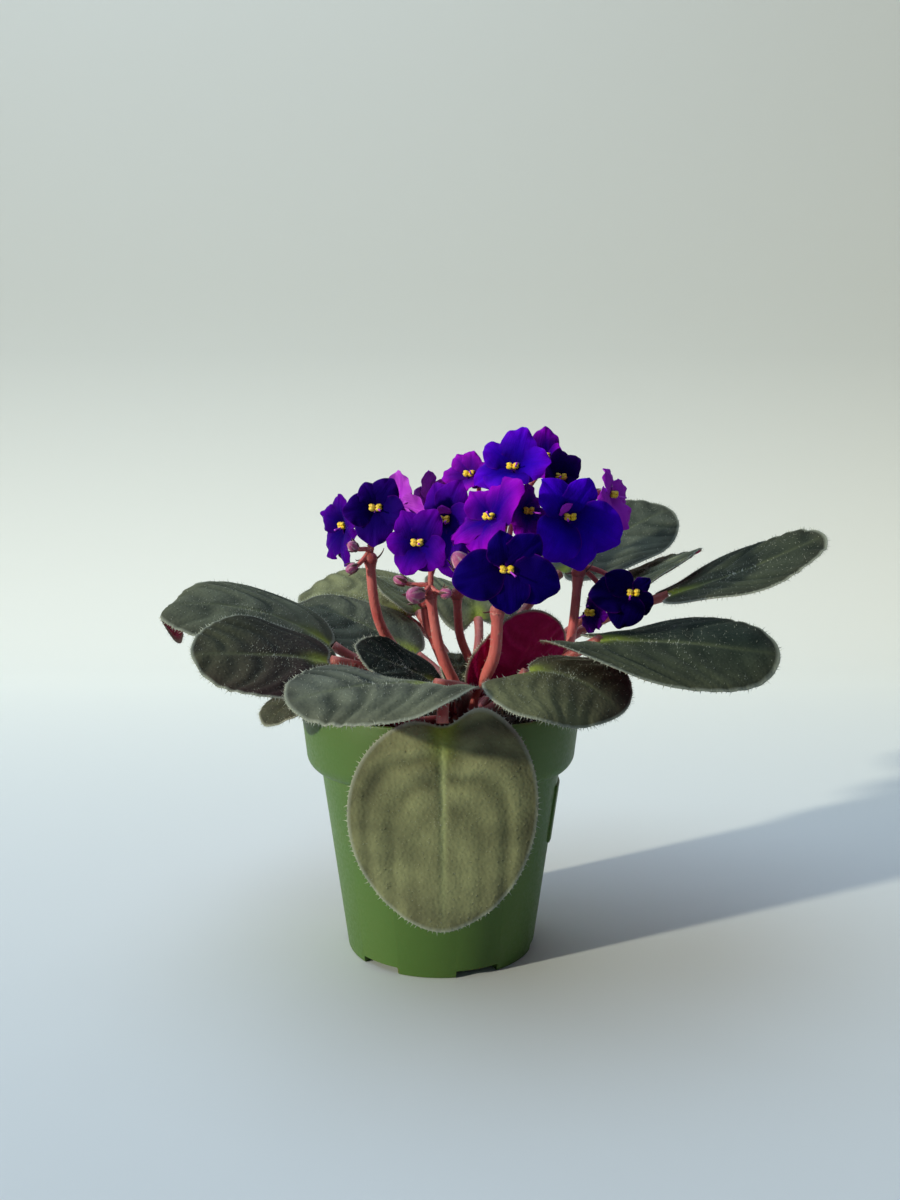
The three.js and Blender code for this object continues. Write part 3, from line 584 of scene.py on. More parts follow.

# %% [markdown]
# ## The rosette in numbers
#
# Each leaf is one row. The first line says where its blade is joined to its stalk, which way it
# heads, its slope there and at the tip, its length and width, and how far it is rolled over at the
# base and how much more by the tip. Then come how the left and right halves are cupped, how deep
# the lobe is on each side of the stalk, and what only some leaves have: `stalk` is the stalk's slope
# at the crown, and its slope and turn at the blade, where it bends oddly, and `curl` turns the tip
# under, from a share of the length on, with a skew, a radius and some extra length. `ribs` is how
# strong the side veins are, `arched` marks the old leaf whose veins arch round from the base, and
# `keel` is how pale the midrib is. The last line holds shades from 0 to 1: how grey the leaf is with
# pale hairs and a painted sheen, and how olive and how maroon its upper side is, at the middle, more
# towards the tip, and more towards the left.

# %% Leaf table
LEAVES = [
    {"base": (-42, 18, 108), "heading": 194, "slope": (36, -10), "size": (69, 57), "roll": (-18, -2),
     "cup": (-16, -8), "lobes": (0.1, 0.05), "curl": (0.9, 0.2, 3, 50),
     "dust_and_sheen": 0.5, "olive": (0.25, 0, 0), "maroon": (0.05, 0, 0)},
    {"base": (-38, -24, 108), "heading": 203, "slope": (11, -1), "size": (46, 54), "roll": (-15, -16),
     "cup": (0, 0), "lobes": (0.1, 0.1),
     "dust_and_sheen": 0, "olive": (0.14, 0.55, 0), "maroon": (0.55, -0.5, 0.35)},
    {"base": (-2, -54, 105), "heading": 200, "slope": (7, -15), "size": (46, 57), "roll": (9, -27),
     "cup": (-19, 0), "lobes": (0.3, 0.15),
     "dust_and_sheen": 1, "olive": (0.2, 0, 0.15), "maroon": (0.1, 0, 0)},
    {"base": (-28, -8, 87), "heading": 214, "slope": (40, -40), "size": (41, 45), "roll": (-2, 5),
     "cup": (0, 0), "lobes": (0.1, 0.1), "stalk": (0, 40, 0),
     "dust_and_sheen": 0.4, "olive": (0.2, 0, 0), "maroon": (0.1, 0, 0)},
    {"base": (-10, 33, 102), "heading": 158, "slope": (30, 8), "size": (58, 47), "roll": (-18, 0),
     "cup": (-8, -12), "lobes": (0.1, 0),
     "dust_and_sheen": 0.5, "olive": (0.2, 0, 0), "maroon": (0.05, 0, 0)},
    {"base": (-16, 69, 113), "heading": 154, "slope": (28, -9), "size": (55, 48), "roll": (-27, -2),
     "cup": (4, 0), "lobes": (0.1, 0.1),
     "dust_and_sheen": 0.5, "olive": (0.7, 0, 0), "maroon": (0, 0, 0)},
    {"base": (-1, -10, 98), "heading": 200, "slope": (27, 21), "size": (33, 34), "roll": (-20, -10),
     "cup": (17, 1), "lobes": (0.1, 0.15),
     "dust_and_sheen": 0, "olive": (0, 0, 0), "maroon": (0, 0, 0)},
    {"base": (-10, 57, 117), "heading": 122, "slope": (36, 8), "size": (32, 32), "roll": (6, 10),
     "cup": (21, 10), "lobes": (0.1, 0.1),
     "dust_and_sheen": 0.4, "olive": (0.8, 0, 0), "maroon": (0, 0, 0)},
    {"base": (15, 49, 115), "heading": 94, "slope": (38, -36), "size": (66, 43), "roll": (5, 9),
     "cup": (7, -5), "lobes": (0.2, 0.1),
     "dust_and_sheen": 0.4, "olive": (0.4, 0, 0), "maroon": (0, 0, 0)},
    {"base": (49, 47, 134), "heading": 28, "slope": (31, 19), "size": (62, 47), "roll": (11, 21),
     "cup": (0, 0), "lobes": (0.1, 0.1),
     "dust_and_sheen": 0.5, "olive": (0.1, 0, 0), "maroon": (0, 0, 0)},
    {"base": (64, 32, 123), "heading": 27, "slope": (36, 10), "size": (51, 37), "roll": (2, -12),
     "cup": (-6, 8), "lobes": (0.1, 0.15),
     "dust_and_sheen": 0.4, "olive": (0.4, 0, 0), "maroon": (0, 0, 0)},
    {"base": (88, 20, 127), "heading": -11, "slope": (17, 28), "size": (60, 48), "roll": (7, 18),
     "cup": (0, 1), "lobes": (0.15, 0.1),
     "dust_and_sheen": 0, "olive": (0.1, 0, 0), "maroon": (0.05, 0, 0)},
    {"base": (54, -30, 116), "heading": -7, "slope": (0, -9), "size": (58, 62), "roll": (4, 32),
     "cup": (-21, -7), "lobes": (0.15, 0.45), "stalk": (30, 20, -55),
     "dust_and_sheen": 0, "olive": (0.05, 0, -0.2), "maroon": (0, 0, 0)},
    {"base": (28, -51, 109), "heading": -24, "slope": (5, -49), "size": (33, 57), "roll": (11, 13),
     "cup": (-23, -6), "lobes": (0.1, 0.4), "stalk": (25, 55, 0), "ribs": 0.5,
     "dust_and_sheen": 0, "olive": (0.42, 0, -0.35), "maroon": (0.5, 0.2, 0.5)},
    {"base": (1, -55, 92), "heading": -88, "slope": (-78, -92), "size": (64, 60), "roll": (1, 2),
     "cup": (-9, -8), "lobes": (0.15, 0.05), "stalk": (55, -78, 0), "arched": True, "keel": 0.85,
     "dust_and_sheen": 0.1, "olive": (1, 0, 0), "maroon": (0.1, 0.05, 0.1)},
    {"base": (20, -2, 93), "heading": -47, "slope": (45, 68), "size": (38, 39), "roll": (-3, -21),
     "cup": (7, 3), "lobes": (0.1, 0.15),
     "dust_and_sheen": 0.2, "olive": (0.2, 0, 0), "maroon": (0, 0, 0)},
    {"base": (9, 3, 90), "heading": 110, "slope": (57, 37), "size": (21, 16), "roll": (4, 6),
     "cup": (20, 20), "lobes": (0.1, 0.1),
     "dust_and_sheen": 0.2, "olive": (0.6, 0, 0), "maroon": (0, 0, 0)},
]
print("leaves:", len(LEAVES))

# %% [markdown]
# ## From a disc to a leaf
#
# A leaf blade is a round, slightly thick pad. It could be cut from a grid, but the section of a lens
# spun into a closed disc gives a clean round rim. A formula then draws the disc out to the leaf's
# outline with a notch at the stalk: `blade_share` says how far along the leaf a point lies.

# %% Leaf outline
BLADE = {"thickness": 1.2, "spokes": 132, "rings": 26, "wave": 0.6, "waves": 5, "uneven": 0.35}
NOTCH = {"width": 0.25, "tip": 0.01, "taper": 0.1, "change": 0.3}
RIM_RADII = [0.975, 0.99, 0.998]
FLAT_RADIUS = 0.955


def lens_section(rings, power=10):
    """The half section of a disc with a rounded rim: points of (radius, height), top then bottom."""
    radii = [step / rings * FLAT_RADIUS for step in range(rings + 1)] + RIM_RADII
    top = [(radius, math.sqrt(1 - radius ** power)) for radius in radii]
    return top + [(1, 0)] + [(radius, -height) for radius, height in reversed(top)]


def blade_share(leaf, along, across):
    """How far along the leaf a point of the unit disc lies, from 0 at the stalk to 1 at the tip."""
    left, right = leaf["lobes"]
    lobe = (left + right) / 2 + (left - right) / 2 * math.tanh(across / NOTCH["change"])
    middle = math.exp(-((across / NOTCH["width"]) ** 2))
    share = (along + 1) / 2 * (1 + lobe) - lobe
    return share + lobe * middle * max(-along, 0) ** 2 + NOTCH["tip"] * middle * max(along, 0) ** 4


print("a leaf's section has", len(lens_section(BLADE["rings"])), "points")

# %% [markdown]
# ## Veins
#
# The veins are sunk in the upper side. Each side vein leaves the midrib squarely and curves towards
# the tip, and the blade swells between them like a quilt. On the old hanging leaf they arch round
# from the base instead. Noise makes them wander and some of them fade. The veins move the mesh
# itself, because they catch the low sun, and a bump in the material would leave the blade too flat.

# %% Vein form
VEINS = {"spacing": 0.19, "sweep": 0.6, "stagger": 0.3, "depth": 0.38, "width": 1.7, "swell": 0.28,
         "wander": 0.07, "even": 0.6, "uneven": 0.9, "start": 0.12}
MIDRIB = {"depth": 0.6, "width": 0.6, "widening": 1.2, "reach": 1.15}
ARCHES = {"middle": 0.84, "square": 7, "spacing": 0.13, "left": 0.846, "right": 0.385, "gain": 2.6,
          "loss": 1.2}
NOISE_SCALE = 2.5


def vein_flow(leaf, share, across):
    """A number that is whole on each side vein, how far apart the veins are, and how strong."""
    side = abs(across)
    if leaf.get("arched"):
        from_tip, from_middle = max(1 - share, 0), (side + ARCHES["middle"]) / 2
        power = ARCHES["square"]
        reach = (from_tip ** power + from_middle ** power) ** (1 / power)
        flow = reach / ARCHES["spacing"] - ARCHES["left" if across > 0 else "right"]
        return flow, ARCHES["spacing"], clamp(ARCHES["gain"] * reach - ARCHES["loss"])
    flow = (share - VEINS["sweep"] * side ** 2.6) / VEINS["spacing"]
    return flow + (VEINS["stagger"] if across > 0 else 0), VEINS["spacing"], leaf.get("ribs", 1)


def vein_depth(leaf, number, share, across):
    """Two numbers: how deep the blade is sunk into its veins, and how near a vein is, up to 1."""
    length, width = leaf["size"]
    side = abs(across)
    spot = Vector((share * NOISE_SCALE, across * NOISE_SCALE, 7 * number))
    flow, spacing, strength = vein_flow(leaf, share + VEINS["wander"] * noise.noise(spot), across)
    away = abs(flow - round(flow)) * spacing * length
    own_spot = Vector((round(flow), math.copysign(NOISE_SCALE, across), number + 0.5))
    own = strength * (VEINS["even"] + VEINS["uneven"] * noise.noise(own_spot))
    reach = min(side / VEINS["start"], 1) * (1 - side ** 8) * own
    vein = math.exp(-((away / VEINS["width"]) ** 2)) * reach
    rib_width = MIDRIB["width"] + MIDRIB["widening"] * (1 - share)
    midrib = math.exp(-((side * width / 2 / rib_width) ** 2)) * clamp(MIDRIB["reach"] - share)
    swell = VEINS["swell"] * math.cos(2 * math.pi * flow) * reach
    return VEINS["depth"] * vein + MIDRIB["depth"] * midrib + swell, max(vein, midrib)


print("side veins on a leaf:", round(1 / VEINS["spacing"]))

# %% [markdown]
# ## Bending the blade
#
# The leaf is bent along its midrib, which is a circular arc from one slope to the other. A curled
# tip goes on round a much tighter arc and then straight. About the midrib the blade is rolled, and
# each half of it is cupped on an arc of its own. Last of all the margin ripples.

# %% Blade form
CURL_LIMIT = 1.8


def midrib_place(leaf, share, across):
    """How far out and up the blade's middle is at a share, and its slope there."""
    length = leaf["size"][0]
    start, end = (math.radians(slope) for slope in leaf["slope"])
    bend = (end - start) / length
    curl_from, skew, radius, extra = leaf.get("curl", (2, 0, 1, 0))
    curl_from += skew * across
    reach = min(share, curl_from) * length
    slope = start + bend * max(reach, 0)
    behind = min(reach, 0)
    outward = (math.sin(slope) - math.sin(start)) / bend + behind * math.cos(start)
    upward = (math.cos(start) - math.cos(slope)) / bend + behind * math.sin(start)
    if share > curl_from:
        over = (share - curl_from) * (length + extra)
        turn = min(over / radius, CURL_LIMIT)
        rest = over - radius * turn
        curled = slope - turn
        outward += radius * (math.sin(slope) - math.sin(curled)) + rest * math.cos(curled)
        upward += radius * (math.cos(curled) - math.cos(slope)) + rest * math.sin(curled)
        slope = curled
    return outward, upward, slope


def blade_point(leaf, number, along, across, height):
    """A point of the blade, with its share along the leaf, its vein mask and how far it is sunk."""
    width = leaf["size"][1]
    share = blade_share(leaf, along, across)
    outward, upward, slope = midrib_place(leaf, share, across)
    reach = abs(across * (1 - NOTCH["taper"] * along))
    roll = math.radians(leaf["roll"][0] + leaf["roll"][1] * share)
    normal = Vector((-math.sin(slope), 0, math.cos(slope)))
    sideways = Vector((0, math.cos(roll), 0)) + normal * math.sin(roll)
    face = normal * math.cos(roll) - Vector((0, math.sin(roll), 0))
    cup = math.radians(leaf["cup"][0] if across > 0 else leaf["cup"][1]) or 0.001
    side = math.copysign(math.sin(cup * reach) / cup * width / 2, across)
    spread = along ** 2 + across ** 2
    wave = BLADE["wave"] * spread * math.sin(BLADE["waves"] * math.atan2(across, along) + number)
    sunk, vein = vein_depth(leaf, number, share, across)
    rise = (1 - math.cos(cup * reach)) / cup * width / 2 + wave + height - sunk
    return Vector((outward, 0, upward)) + sideways * side + face * rise, share, vein, sunk


tip_out, tip_up = midrib_place(LEAVES[0], 1, 0)[:2]
print("the first leaf's tip is", round(tip_out), "mm out and", round(tip_up), "mm up")

# %% [markdown]
# ## Velvet
#
# The blade looks soft because it is covered in short clear hairs. A slight sheen lightens the
# surface where it turns away. The rest is real, as a particle system would not be kept: a few
# hundred faces of each blade are shrunk to a hair's width and poked outwards into thin spikes, most
# of them on the rim, where they make the pale fringe.


# %% Hairs
def grow_hairs(bm, faces, length, width, material_index, chance, lean):
    """Turn the given faces into hairs: shrink each to a small base, then poke it out to a point."""
    bmesh.ops.inset_individual(bm, faces=faces, thickness=0.02, use_interpolate=True)
    for face in faces:
        middle = face.calc_center_median()
        size = math.sqrt(face.calc_area()) or 1
        offset = Vector([chance.uniform(-0.3, 0.3) * size for _ in range(3)])
        offset -= offset.project(face.normal)
        for vert in face.verts:
            vert.co = middle + offset + (vert.co - middle) * min(width / size, 0.9)
    poked = bmesh.ops.poke(bm, faces=faces, offset=length)
    for vert in poked["verts"]:
        vert.co += Vector([chance.uniform(-lean, lean) * length for _ in range(3)])
    for face in poked["faces"]:
        face.material_index = material_index


print("hairs are grown by grow_hairs")

# %% [markdown]
# ## The leaf's upper side
#
# The upper side is a dark blue-green that dries to straw on the oldest leaves and blushes maroon
# where it gets strong light. Some leaves are greyed by pale hairs and by a painted sheen. The sunken
# veins are darker with painted shade, the swollen places between them paler with a painted highlight,
# the midrib is yellow-green near the stalk, and the rim is pale. The leaf's own numbers are written on
# its vertices as two colour attributes, and one material reads them for all the leaves, so that a
# change of green is made in one place.

# %% Leaf top
# The greyer leaf colours stand for pale hairs together with a painted sheen.
GREEN_LEAF = {"dark": (0.003, 0.010, 0.008), "light": (0.020, 0.032, 0.024),
              "dusty dark": (0.030, 0.042, 0.039), "dusty light": (0.135, 0.160, 0.140),
              "straw dark": (0.092, 0.098, 0.054), "straw light": (0.32, 0.345, 0.170),
              "maroon": (0.026, 0.012, 0.012), "vein": (0.010, 0.018, 0.011),
              "midrib": (0.40, 0.46, 0.22), "lime": (0.21, 0.27, 0.035), "hairs": (0.32, 0.35, 0.28),
              "rim": (0.30, 0.33, 0.27)}
leaf_top, tree, shader = new_material("leaf_top", Roughness=0.75, Specular_IOR_Level=0.12,
                                      Sheen_Weight=0.11, Sheen_Roughness=0.25,
                                      Sheen_Tint=(0.72, 0.86, 0.74, 1))
olive, maroon, lime, dust_and_sheen = read_numbers(tree, "shade")
vein, rim, pale, swell_highlight = read_numbers(tree, "form")
patches = compute(tree, "MULTIPLY", mottle(tree, 80, 2.6), 0.65)
# Painted highlight: the swollen places between the veins are lightened.
cloud = compute(tree, "ADD", patches, compute(tree, "MULTIPLY", swell_highlight, 0.35))
colour, dust_and_sheen_colour, straw = (blend(tree, cloud, GREEN_LEAF[f"{kind}dark"], GREEN_LEAF[f"{kind}light"])
                           for kind in ("", "dusty ", "straw "))
# Painted light in these layers: the vein colour is painted shade in the sunken veins, and the grey of the
# hairier leaves is partly a painted sheen.
layers = [(dust_and_sheen, dust_and_sheen_colour, None), (olive, straw, None), (maroon, GREEN_LEAF["maroon"], None),
          (vein, GREEN_LEAF["vein"], 0.42), (pale, GREEN_LEAF["midrib"], None),
          (lime, GREEN_LEAF["lime"], None), (flecks(tree, 1100, 0.16), GREEN_LEAF["hairs"], 0.4),
          (rim, GREEN_LEAF["rim"], 0.7)]
for share, over, strength in layers:
    colour = blend(tree, share, colour, over, strength)
paint(tree, shader, colour)
pebbles = add_node(tree, "ShaderNodeTexVoronoi", {"Vector": object_place(tree), "Scale": 900},
                   feature="SMOOTH_F1")
roughen(tree, shader, compute(tree, "SUBTRACT", 1.0, pebbles.outputs["Distance"]), 0.00035, 0.6)
print("layers of colour on a leaf:", len(layers))

# %% [markdown]
# ## The underside and the hairs
#
# The underside is wine red with lighter veins, smoother than the top and nearly without shine. The
# hairs are pearl white. They are lit like everything else, so they glow only where the sun meets
# them.

# %% Leaf back and hair
WINE = {"dark": (0.21, 0.002, 0.036), "light": (0.37, 0.004, 0.075), "vein": (0.44, 0.010, 0.11),
        "rim": (0.24, 0.25, 0.19)}
PEARL = {"dark": (0.32, 0.35, 0.29), "light": (0.52, 0.55, 0.46)}
leaf_back, tree, shader = new_material("leaf_underside", Roughness=0.7, Specular_IOR_Level=0.08)
vein, rim = read_numbers(tree, "form")[:2]
wine = blend(tree, mottle(tree, 110, 2), WINE["dark"], WINE["light"])
ribbed = blend(tree, vein, wine, WINE["vein"], 0.45)
paint(tree, shader, blend(tree, rim, ribbed, WINE["rim"], 0.8))
roughen(tree, shader, mottle(tree, 700, 2), 0.0003)

hair, tree, shader = new_material("hair", Roughness=0.6, Specular_IOR_Level=0.3)
paint(tree, shader, blend(tree, mottle(tree, 400, 2), PEARL["dark"], PEARL["light"]))
print("leaf materials:", leaf_top.name, leaf_back.name, hair.name)

# %% [markdown]
# ## The blades
#
# The rows become leaves. The share along the leaf and the distance from the midrib drive both the
# form and the shades, so a blush or a dry tip stays on the leaf however it bends. The big leaf that
# hangs over the pot's side, number 15, casts no shadow: on the bare floor it would lie as a second
# patch beside the pot's own.

# %% Blades
BLUSH = 0.3
LIME = {"along": 0.14, "across": 0.13}
KEEL = {"pale": 0.22, "width": 0.035, "reach": 1.1}
RIM_HAIRS = {"from": 0.985, "lengths": (1.0, 0.5), "width": 0.06, "lean": 0.7}
DOWN = {"share": 0.10, "length": 0.6, "width": 0.06, "lean": 0.6}
HANGING_LEAF = 15


def leaf_shades(leaf, share, across, spread):
    """How olive, maroon and lime a point of a leaf is, and how grey the leaf is with hair and painted
    sheen.
    """
    olive, maroon = (clamp(values[0] + values[1] * (share - 0.5) + values[2] * across)
                     for values in (leaf["olive"], leaf["maroon"]))
    lime = math.exp(-((share / LIME["along"]) ** 2) - (across / LIME["across"]) ** 2)
    return olive, clamp(maroon + BLUSH * spread ** 8), lime, leaf["dust_and_sheen"]


def leaf_marks(leaf, share, across, spread, vein, sunk):
    """How much of a vein, of the rim, of the pale midrib and of a swelling a point has."""
    rim = clamp((spread - 0.965) / 0.02)
    pale = leaf.get("keel", KEEL["pale"]) * math.exp(-((across / KEEL["width"]) ** 2))
    return vein, rim, pale * clamp(KEEL["reach"] - share), clamp(0.45 - 0.9 * sunk)


def grow_leaf(number, leaf):
    """Spin a disc, move it onto the leaf's form, write its attributes and grow its hairs."""
    bm = bmesh.new()
    spin_section(bm, lens_section(BLADE["rings"]), BLADE["spokes"])
    shade = bm.verts.layers.float_color.new("shade")
    form = bm.verts.layers.float_color.new("form")
    turn = Matrix.Translation(leaf["base"]) @ Matrix.Rotation(math.radians(leaf["heading"]), 4, "Z")
    chance = random.Random(number)
    middles = {face: face.calc_center_median() for face in bm.faces}
    for face, middle in middles.items():
        face.material_index = 0 if middle.z > 0 else 1
    rim_faces = [face for face, middle in middles.items() if middle.to_2d().length > RIM_HAIRS["from"]]
    top_faces = [face for face, middle in middles.items() if middle.z > 0.6 and len(face.verts) == 4]
    for vert in bm.verts:
        along, across, height = vert.co
        spread = math.hypot(along, across)
        drift = noise.noise(Vector((along * 2.2, across * 2.2, number))) * BLADE["uneven"]
        height = height * BLADE["thickness"] / 2 + drift
        place, share, vein, sunk = blade_point(leaf, number, along, across, height)
        vert.co = turn @ place
        vert[shade] = leaf_shades(leaf, share, across, spread)
        vert[form] = leaf_marks(leaf, share, across, spread, vein, sunk)
    bm.normal_update()
    chance.shuffle(rim_faces)
    half = len(rim_faces) // 2
    down = [face for face in top_faces if chance.random() < DOWN["share"]]
    for faces, length in zip((rim_faces[:half], rim_faces[half:]), RIM_HAIRS["lengths"]):
        grow_hairs(bm, faces, length, RIM_HAIRS["width"], 2, chance, RIM_HAIRS["lean"])
    grow_hairs(bm, down, DOWN["length"], DOWN["width"], 2, chance, DOWN["lean"])
    materials = [leaf_top, leaf_back, hair]
    return finish_piece(f"blade_{number:02d}", bm, materials, [f"leaf_{number:02d}"])


blades = [grow_leaf(number, leaf) for number, leaf in enumerate(LEAVES, 1)]
blades[HANGING_LEAF - 1].visible_shadow = False
print("blades:", len(blades), "faces each:", len(blades[0].data.polygons))

# %% [markdown]
# ## Stems as swept tubes
#
# Leaf stalks and flower stalks are soft round stems. A curve with a bevel would do, but it can't
# carry the shades on its vertices. So a ring of edges is laid at the first place on the stem's path
# and extruded to each next one, turned to face along the path and resized. The path itself is a
# Bezier curve, sampled by Blender.


# %% Tubes
def sweep(bm, places, radii, sides, material_index=0):
    """Extrude a ring along the places, and return the new faces."""
    known = set(bm.faces)
    ways = [(after - before).normalized()
            for before, after in zip([places[0], *places[:-1]], [*places[1:], places[-1]])]
    turn = Vector((0, 0, 1)).rotation_difference(ways[0])
    station = Matrix.LocRotScale(places[0], turn, Vector((radii[0],) * 3))
    ring = bmesh.ops.create_circle(bm, cap_ends=True, radius=1, segments=sides, matrix=station)
    edges = list({edge for vert in ring["verts"] for edge in vert.link_edges})
    for place, radius, way, last in zip(places[1:], radii[1:], ways[1:], ways):
        turn = last.rotation_difference(way) @ turn
        target = Matrix.LocRotScale(place, turn, Vector((radius,) * 3))
        grown = bmesh.ops.extrude_edge_only(bm, edges=edges)["geom"]
        verts = [part for part in grown if isinstance(part, bmesh.types.BMVert)]
        edges = [part for part in grown if isinstance(part, bmesh.types.BMEdge)]
        bmesh.ops.transform(bm, matrix=target @ station.inverted(), verts=verts)
        station = target
    bmesh.ops.contextual_create(bm, geom=edges)
    faces = [face for face in bm.faces if face not in known]
    bmesh.ops.recalc_face_normals(bm, faces=faces)
    for face in faces:
        face.material_index = material_index
    return faces


def bezier(start, start_handle, end_handle, end, steps):
    """Places along one Bezier curve."""
    return [Vector(place) for place in interpolate_bezier(start, start_handle, end_handle, end, steps + 1)]


def smooth_path(points, steps):
    """A smooth curve through all the points, as one Bezier curve for each pair of neighbours."""
    points = [Vector(point) for point in points]
    places = [points[0]]
    for index, (start, end) in enumerate(zip(points, points[1:])):
        before, after = points[max(index - 1, 0)], points[min(index + 2, len(points) - 1)]
        places += bezier(start, start + (end - before) / 6, end - (after - start) / 6, end, steps)[1:]
    return places


def taper(first, last, count, swell=0.0):
    """Radii from first to last, swollen at both ends by the given amount."""
    shares = [step / (count - 1) for step in range(count)]
    return [first + (last - first) * share + swell * (2 * share - 1) ** 6 for share in shares]


print("stems are made by sweep")

# %% [markdown]
# ## Fleshy stems
#
# The stems are coral red, lighter where light passes through the skin, with fine streaks along
# their length and a bloom of short white hairs. Near the flowers they darken to maroon. One
# attribute, written on the vertices, says how dark and how leafy each place is.

# %% Stem material
CORAL = {"deep": (0.78, 0.140, 0.130), "light": (0.92, 0.300, 0.260), "streak": (0.42, 0.045, 0.060),
         "dark": (0.16, 0.006, 0.022), "leafy": (0.20, 0.22, 0.05)}
STREAK_SCALE = (1400, 1400, 120)
stem, tree, shader = new_material("coral_stem", Roughness=0.48, Subsurface_Weight=0.15,
                                  Subsurface_Scale=0.002, Sheen_Weight=0.12)
dark, leafy = read_numbers(tree, "shade")[:2]
streaks = fibre_noise(tree, draw_out(tree, STREAK_SCALE))
colour = blend(tree, mottle(tree, 130, 2), CORAL["deep"], CORAL["light"])
colour = blend(tree, streaks, colour, CORAL["streak"], 0.5)
colour = blend(tree, dark, colour, CORAL["dark"])
paint(tree, shader, blend(tree, leafy, colour, CORAL["leafy"]))
roughen(tree, shader, streaks, 0.0002)


def shade_stem(bm, faces, dark, leafy=(0, 0)):
    """Write how dark a stem is from its first place to its last, which its faces follow in order."""
    layer = bm.verts.layers.float_color.get("shade") or bm.verts.layers.float_color.new("shade")
    verts = list(dict.fromkeys(vert for face in faces for vert in face.verts))
    for order, vert in enumerate(verts):
        share = order / max(len(verts) - 1, 1)
        vert[layer] = (*(start + (end - start) * share for start, end in (dark, leafy)), 0, 1)


print("stem material:", stem.name)

# %% [markdown]
# ## The crown and the leaf stalks
#
# All the leaves grow from one short crown. Each leaf stalk leaves it at about 45 degrees, curves
# over and runs into the leaf's midrib. They are one body on the real plant, so they are one piece
# here: the crown is spun, and each stalk is swept into it.

# %% Crown
CROWN_SECTION = [(0, 71), (5, 71), (5, 80.5), (6.4, 82.5), (6.4, 85.5), (4.6, 88), (0, 89.5)]
PETIOLE = {"root_height": 83.5, "root_reach": 3, "slope": 45, "stop": 0.8, "handle": 0.35, "steps": 18,
           "radii": (2.1, 1.75), "swell": 0.25, "sides": 14}
STEM_HAIRS = {"from": 86, "share": 0.2, "length": 1.0, "width": 0.09, "lean": 0.4, "seed": 31}


def petiole_path(leaf, steps):
    """The curve of a leaf's stalk, from the crown to the notch of the blade."""
    base = Vector(leaf["base"])
    middle = Vector((CROWN["x"], CROWN["y"], PETIOLE["root_height"]))
    away = Vector((base.x - middle.x, base.y - middle.y, 0)).normalized()
    root = middle + away * PETIOLE["root_reach"]
    root_slope, end_slope, end_turn = leaf.get("stalk", (PETIOLE["slope"], leaf["slope"][0], 0))
    root_way = direction(math.degrees(math.atan2(away.y, away.x)), root_slope)
    blade_way = direction(leaf["heading"] + end_turn, end_slope)
    end = base - blade_way * PETIOLE["stop"]
    handle = PETIOLE["handle"] * (end - root).length
    return bezier(root, root + root_way * handle, end - blade_way * handle, end, steps)


crown_bm = bmesh.new()
spin_section(crown_bm, CROWN_SECTION, 24)
bmesh.ops.translate(crown_bm, vec=(CROWN["x"], CROWN["y"], 0), verts=crown_bm.verts)
shade_stem(crown_bm, list(crown_bm.faces), (0.6, 0.6), (0.3, 0.3))
for leaf in LEAVES:
    path = petiole_path(leaf, PETIOLE["steps"])
    radii = taper(*PETIOLE["radii"], len(path), PETIOLE["swell"])
    shade_stem(crown_bm, sweep(crown_bm, path, radii, PETIOLE["sides"]), (0.85, 0.7), (0.0, 0.1))
chance = random.Random(STEM_HAIRS["seed"])
skin = [face for face in crown_bm.faces
        if len(face.verts) == 4 and face.calc_center_median().z > STEM_HAIRS["from"]]
hairy = [face for face in skin if chance.random() < STEM_HAIRS["share"]]
grow_hairs(crown_bm, hairy, STEM_HAIRS["length"], STEM_HAIRS["width"], 1, chance, STEM_HAIRS["lean"])
crown = finish_piece("crown_and_stalks", crown_bm, [stem, hair], ["crown"])
print("crown faces:", len(crown.data.polygons))
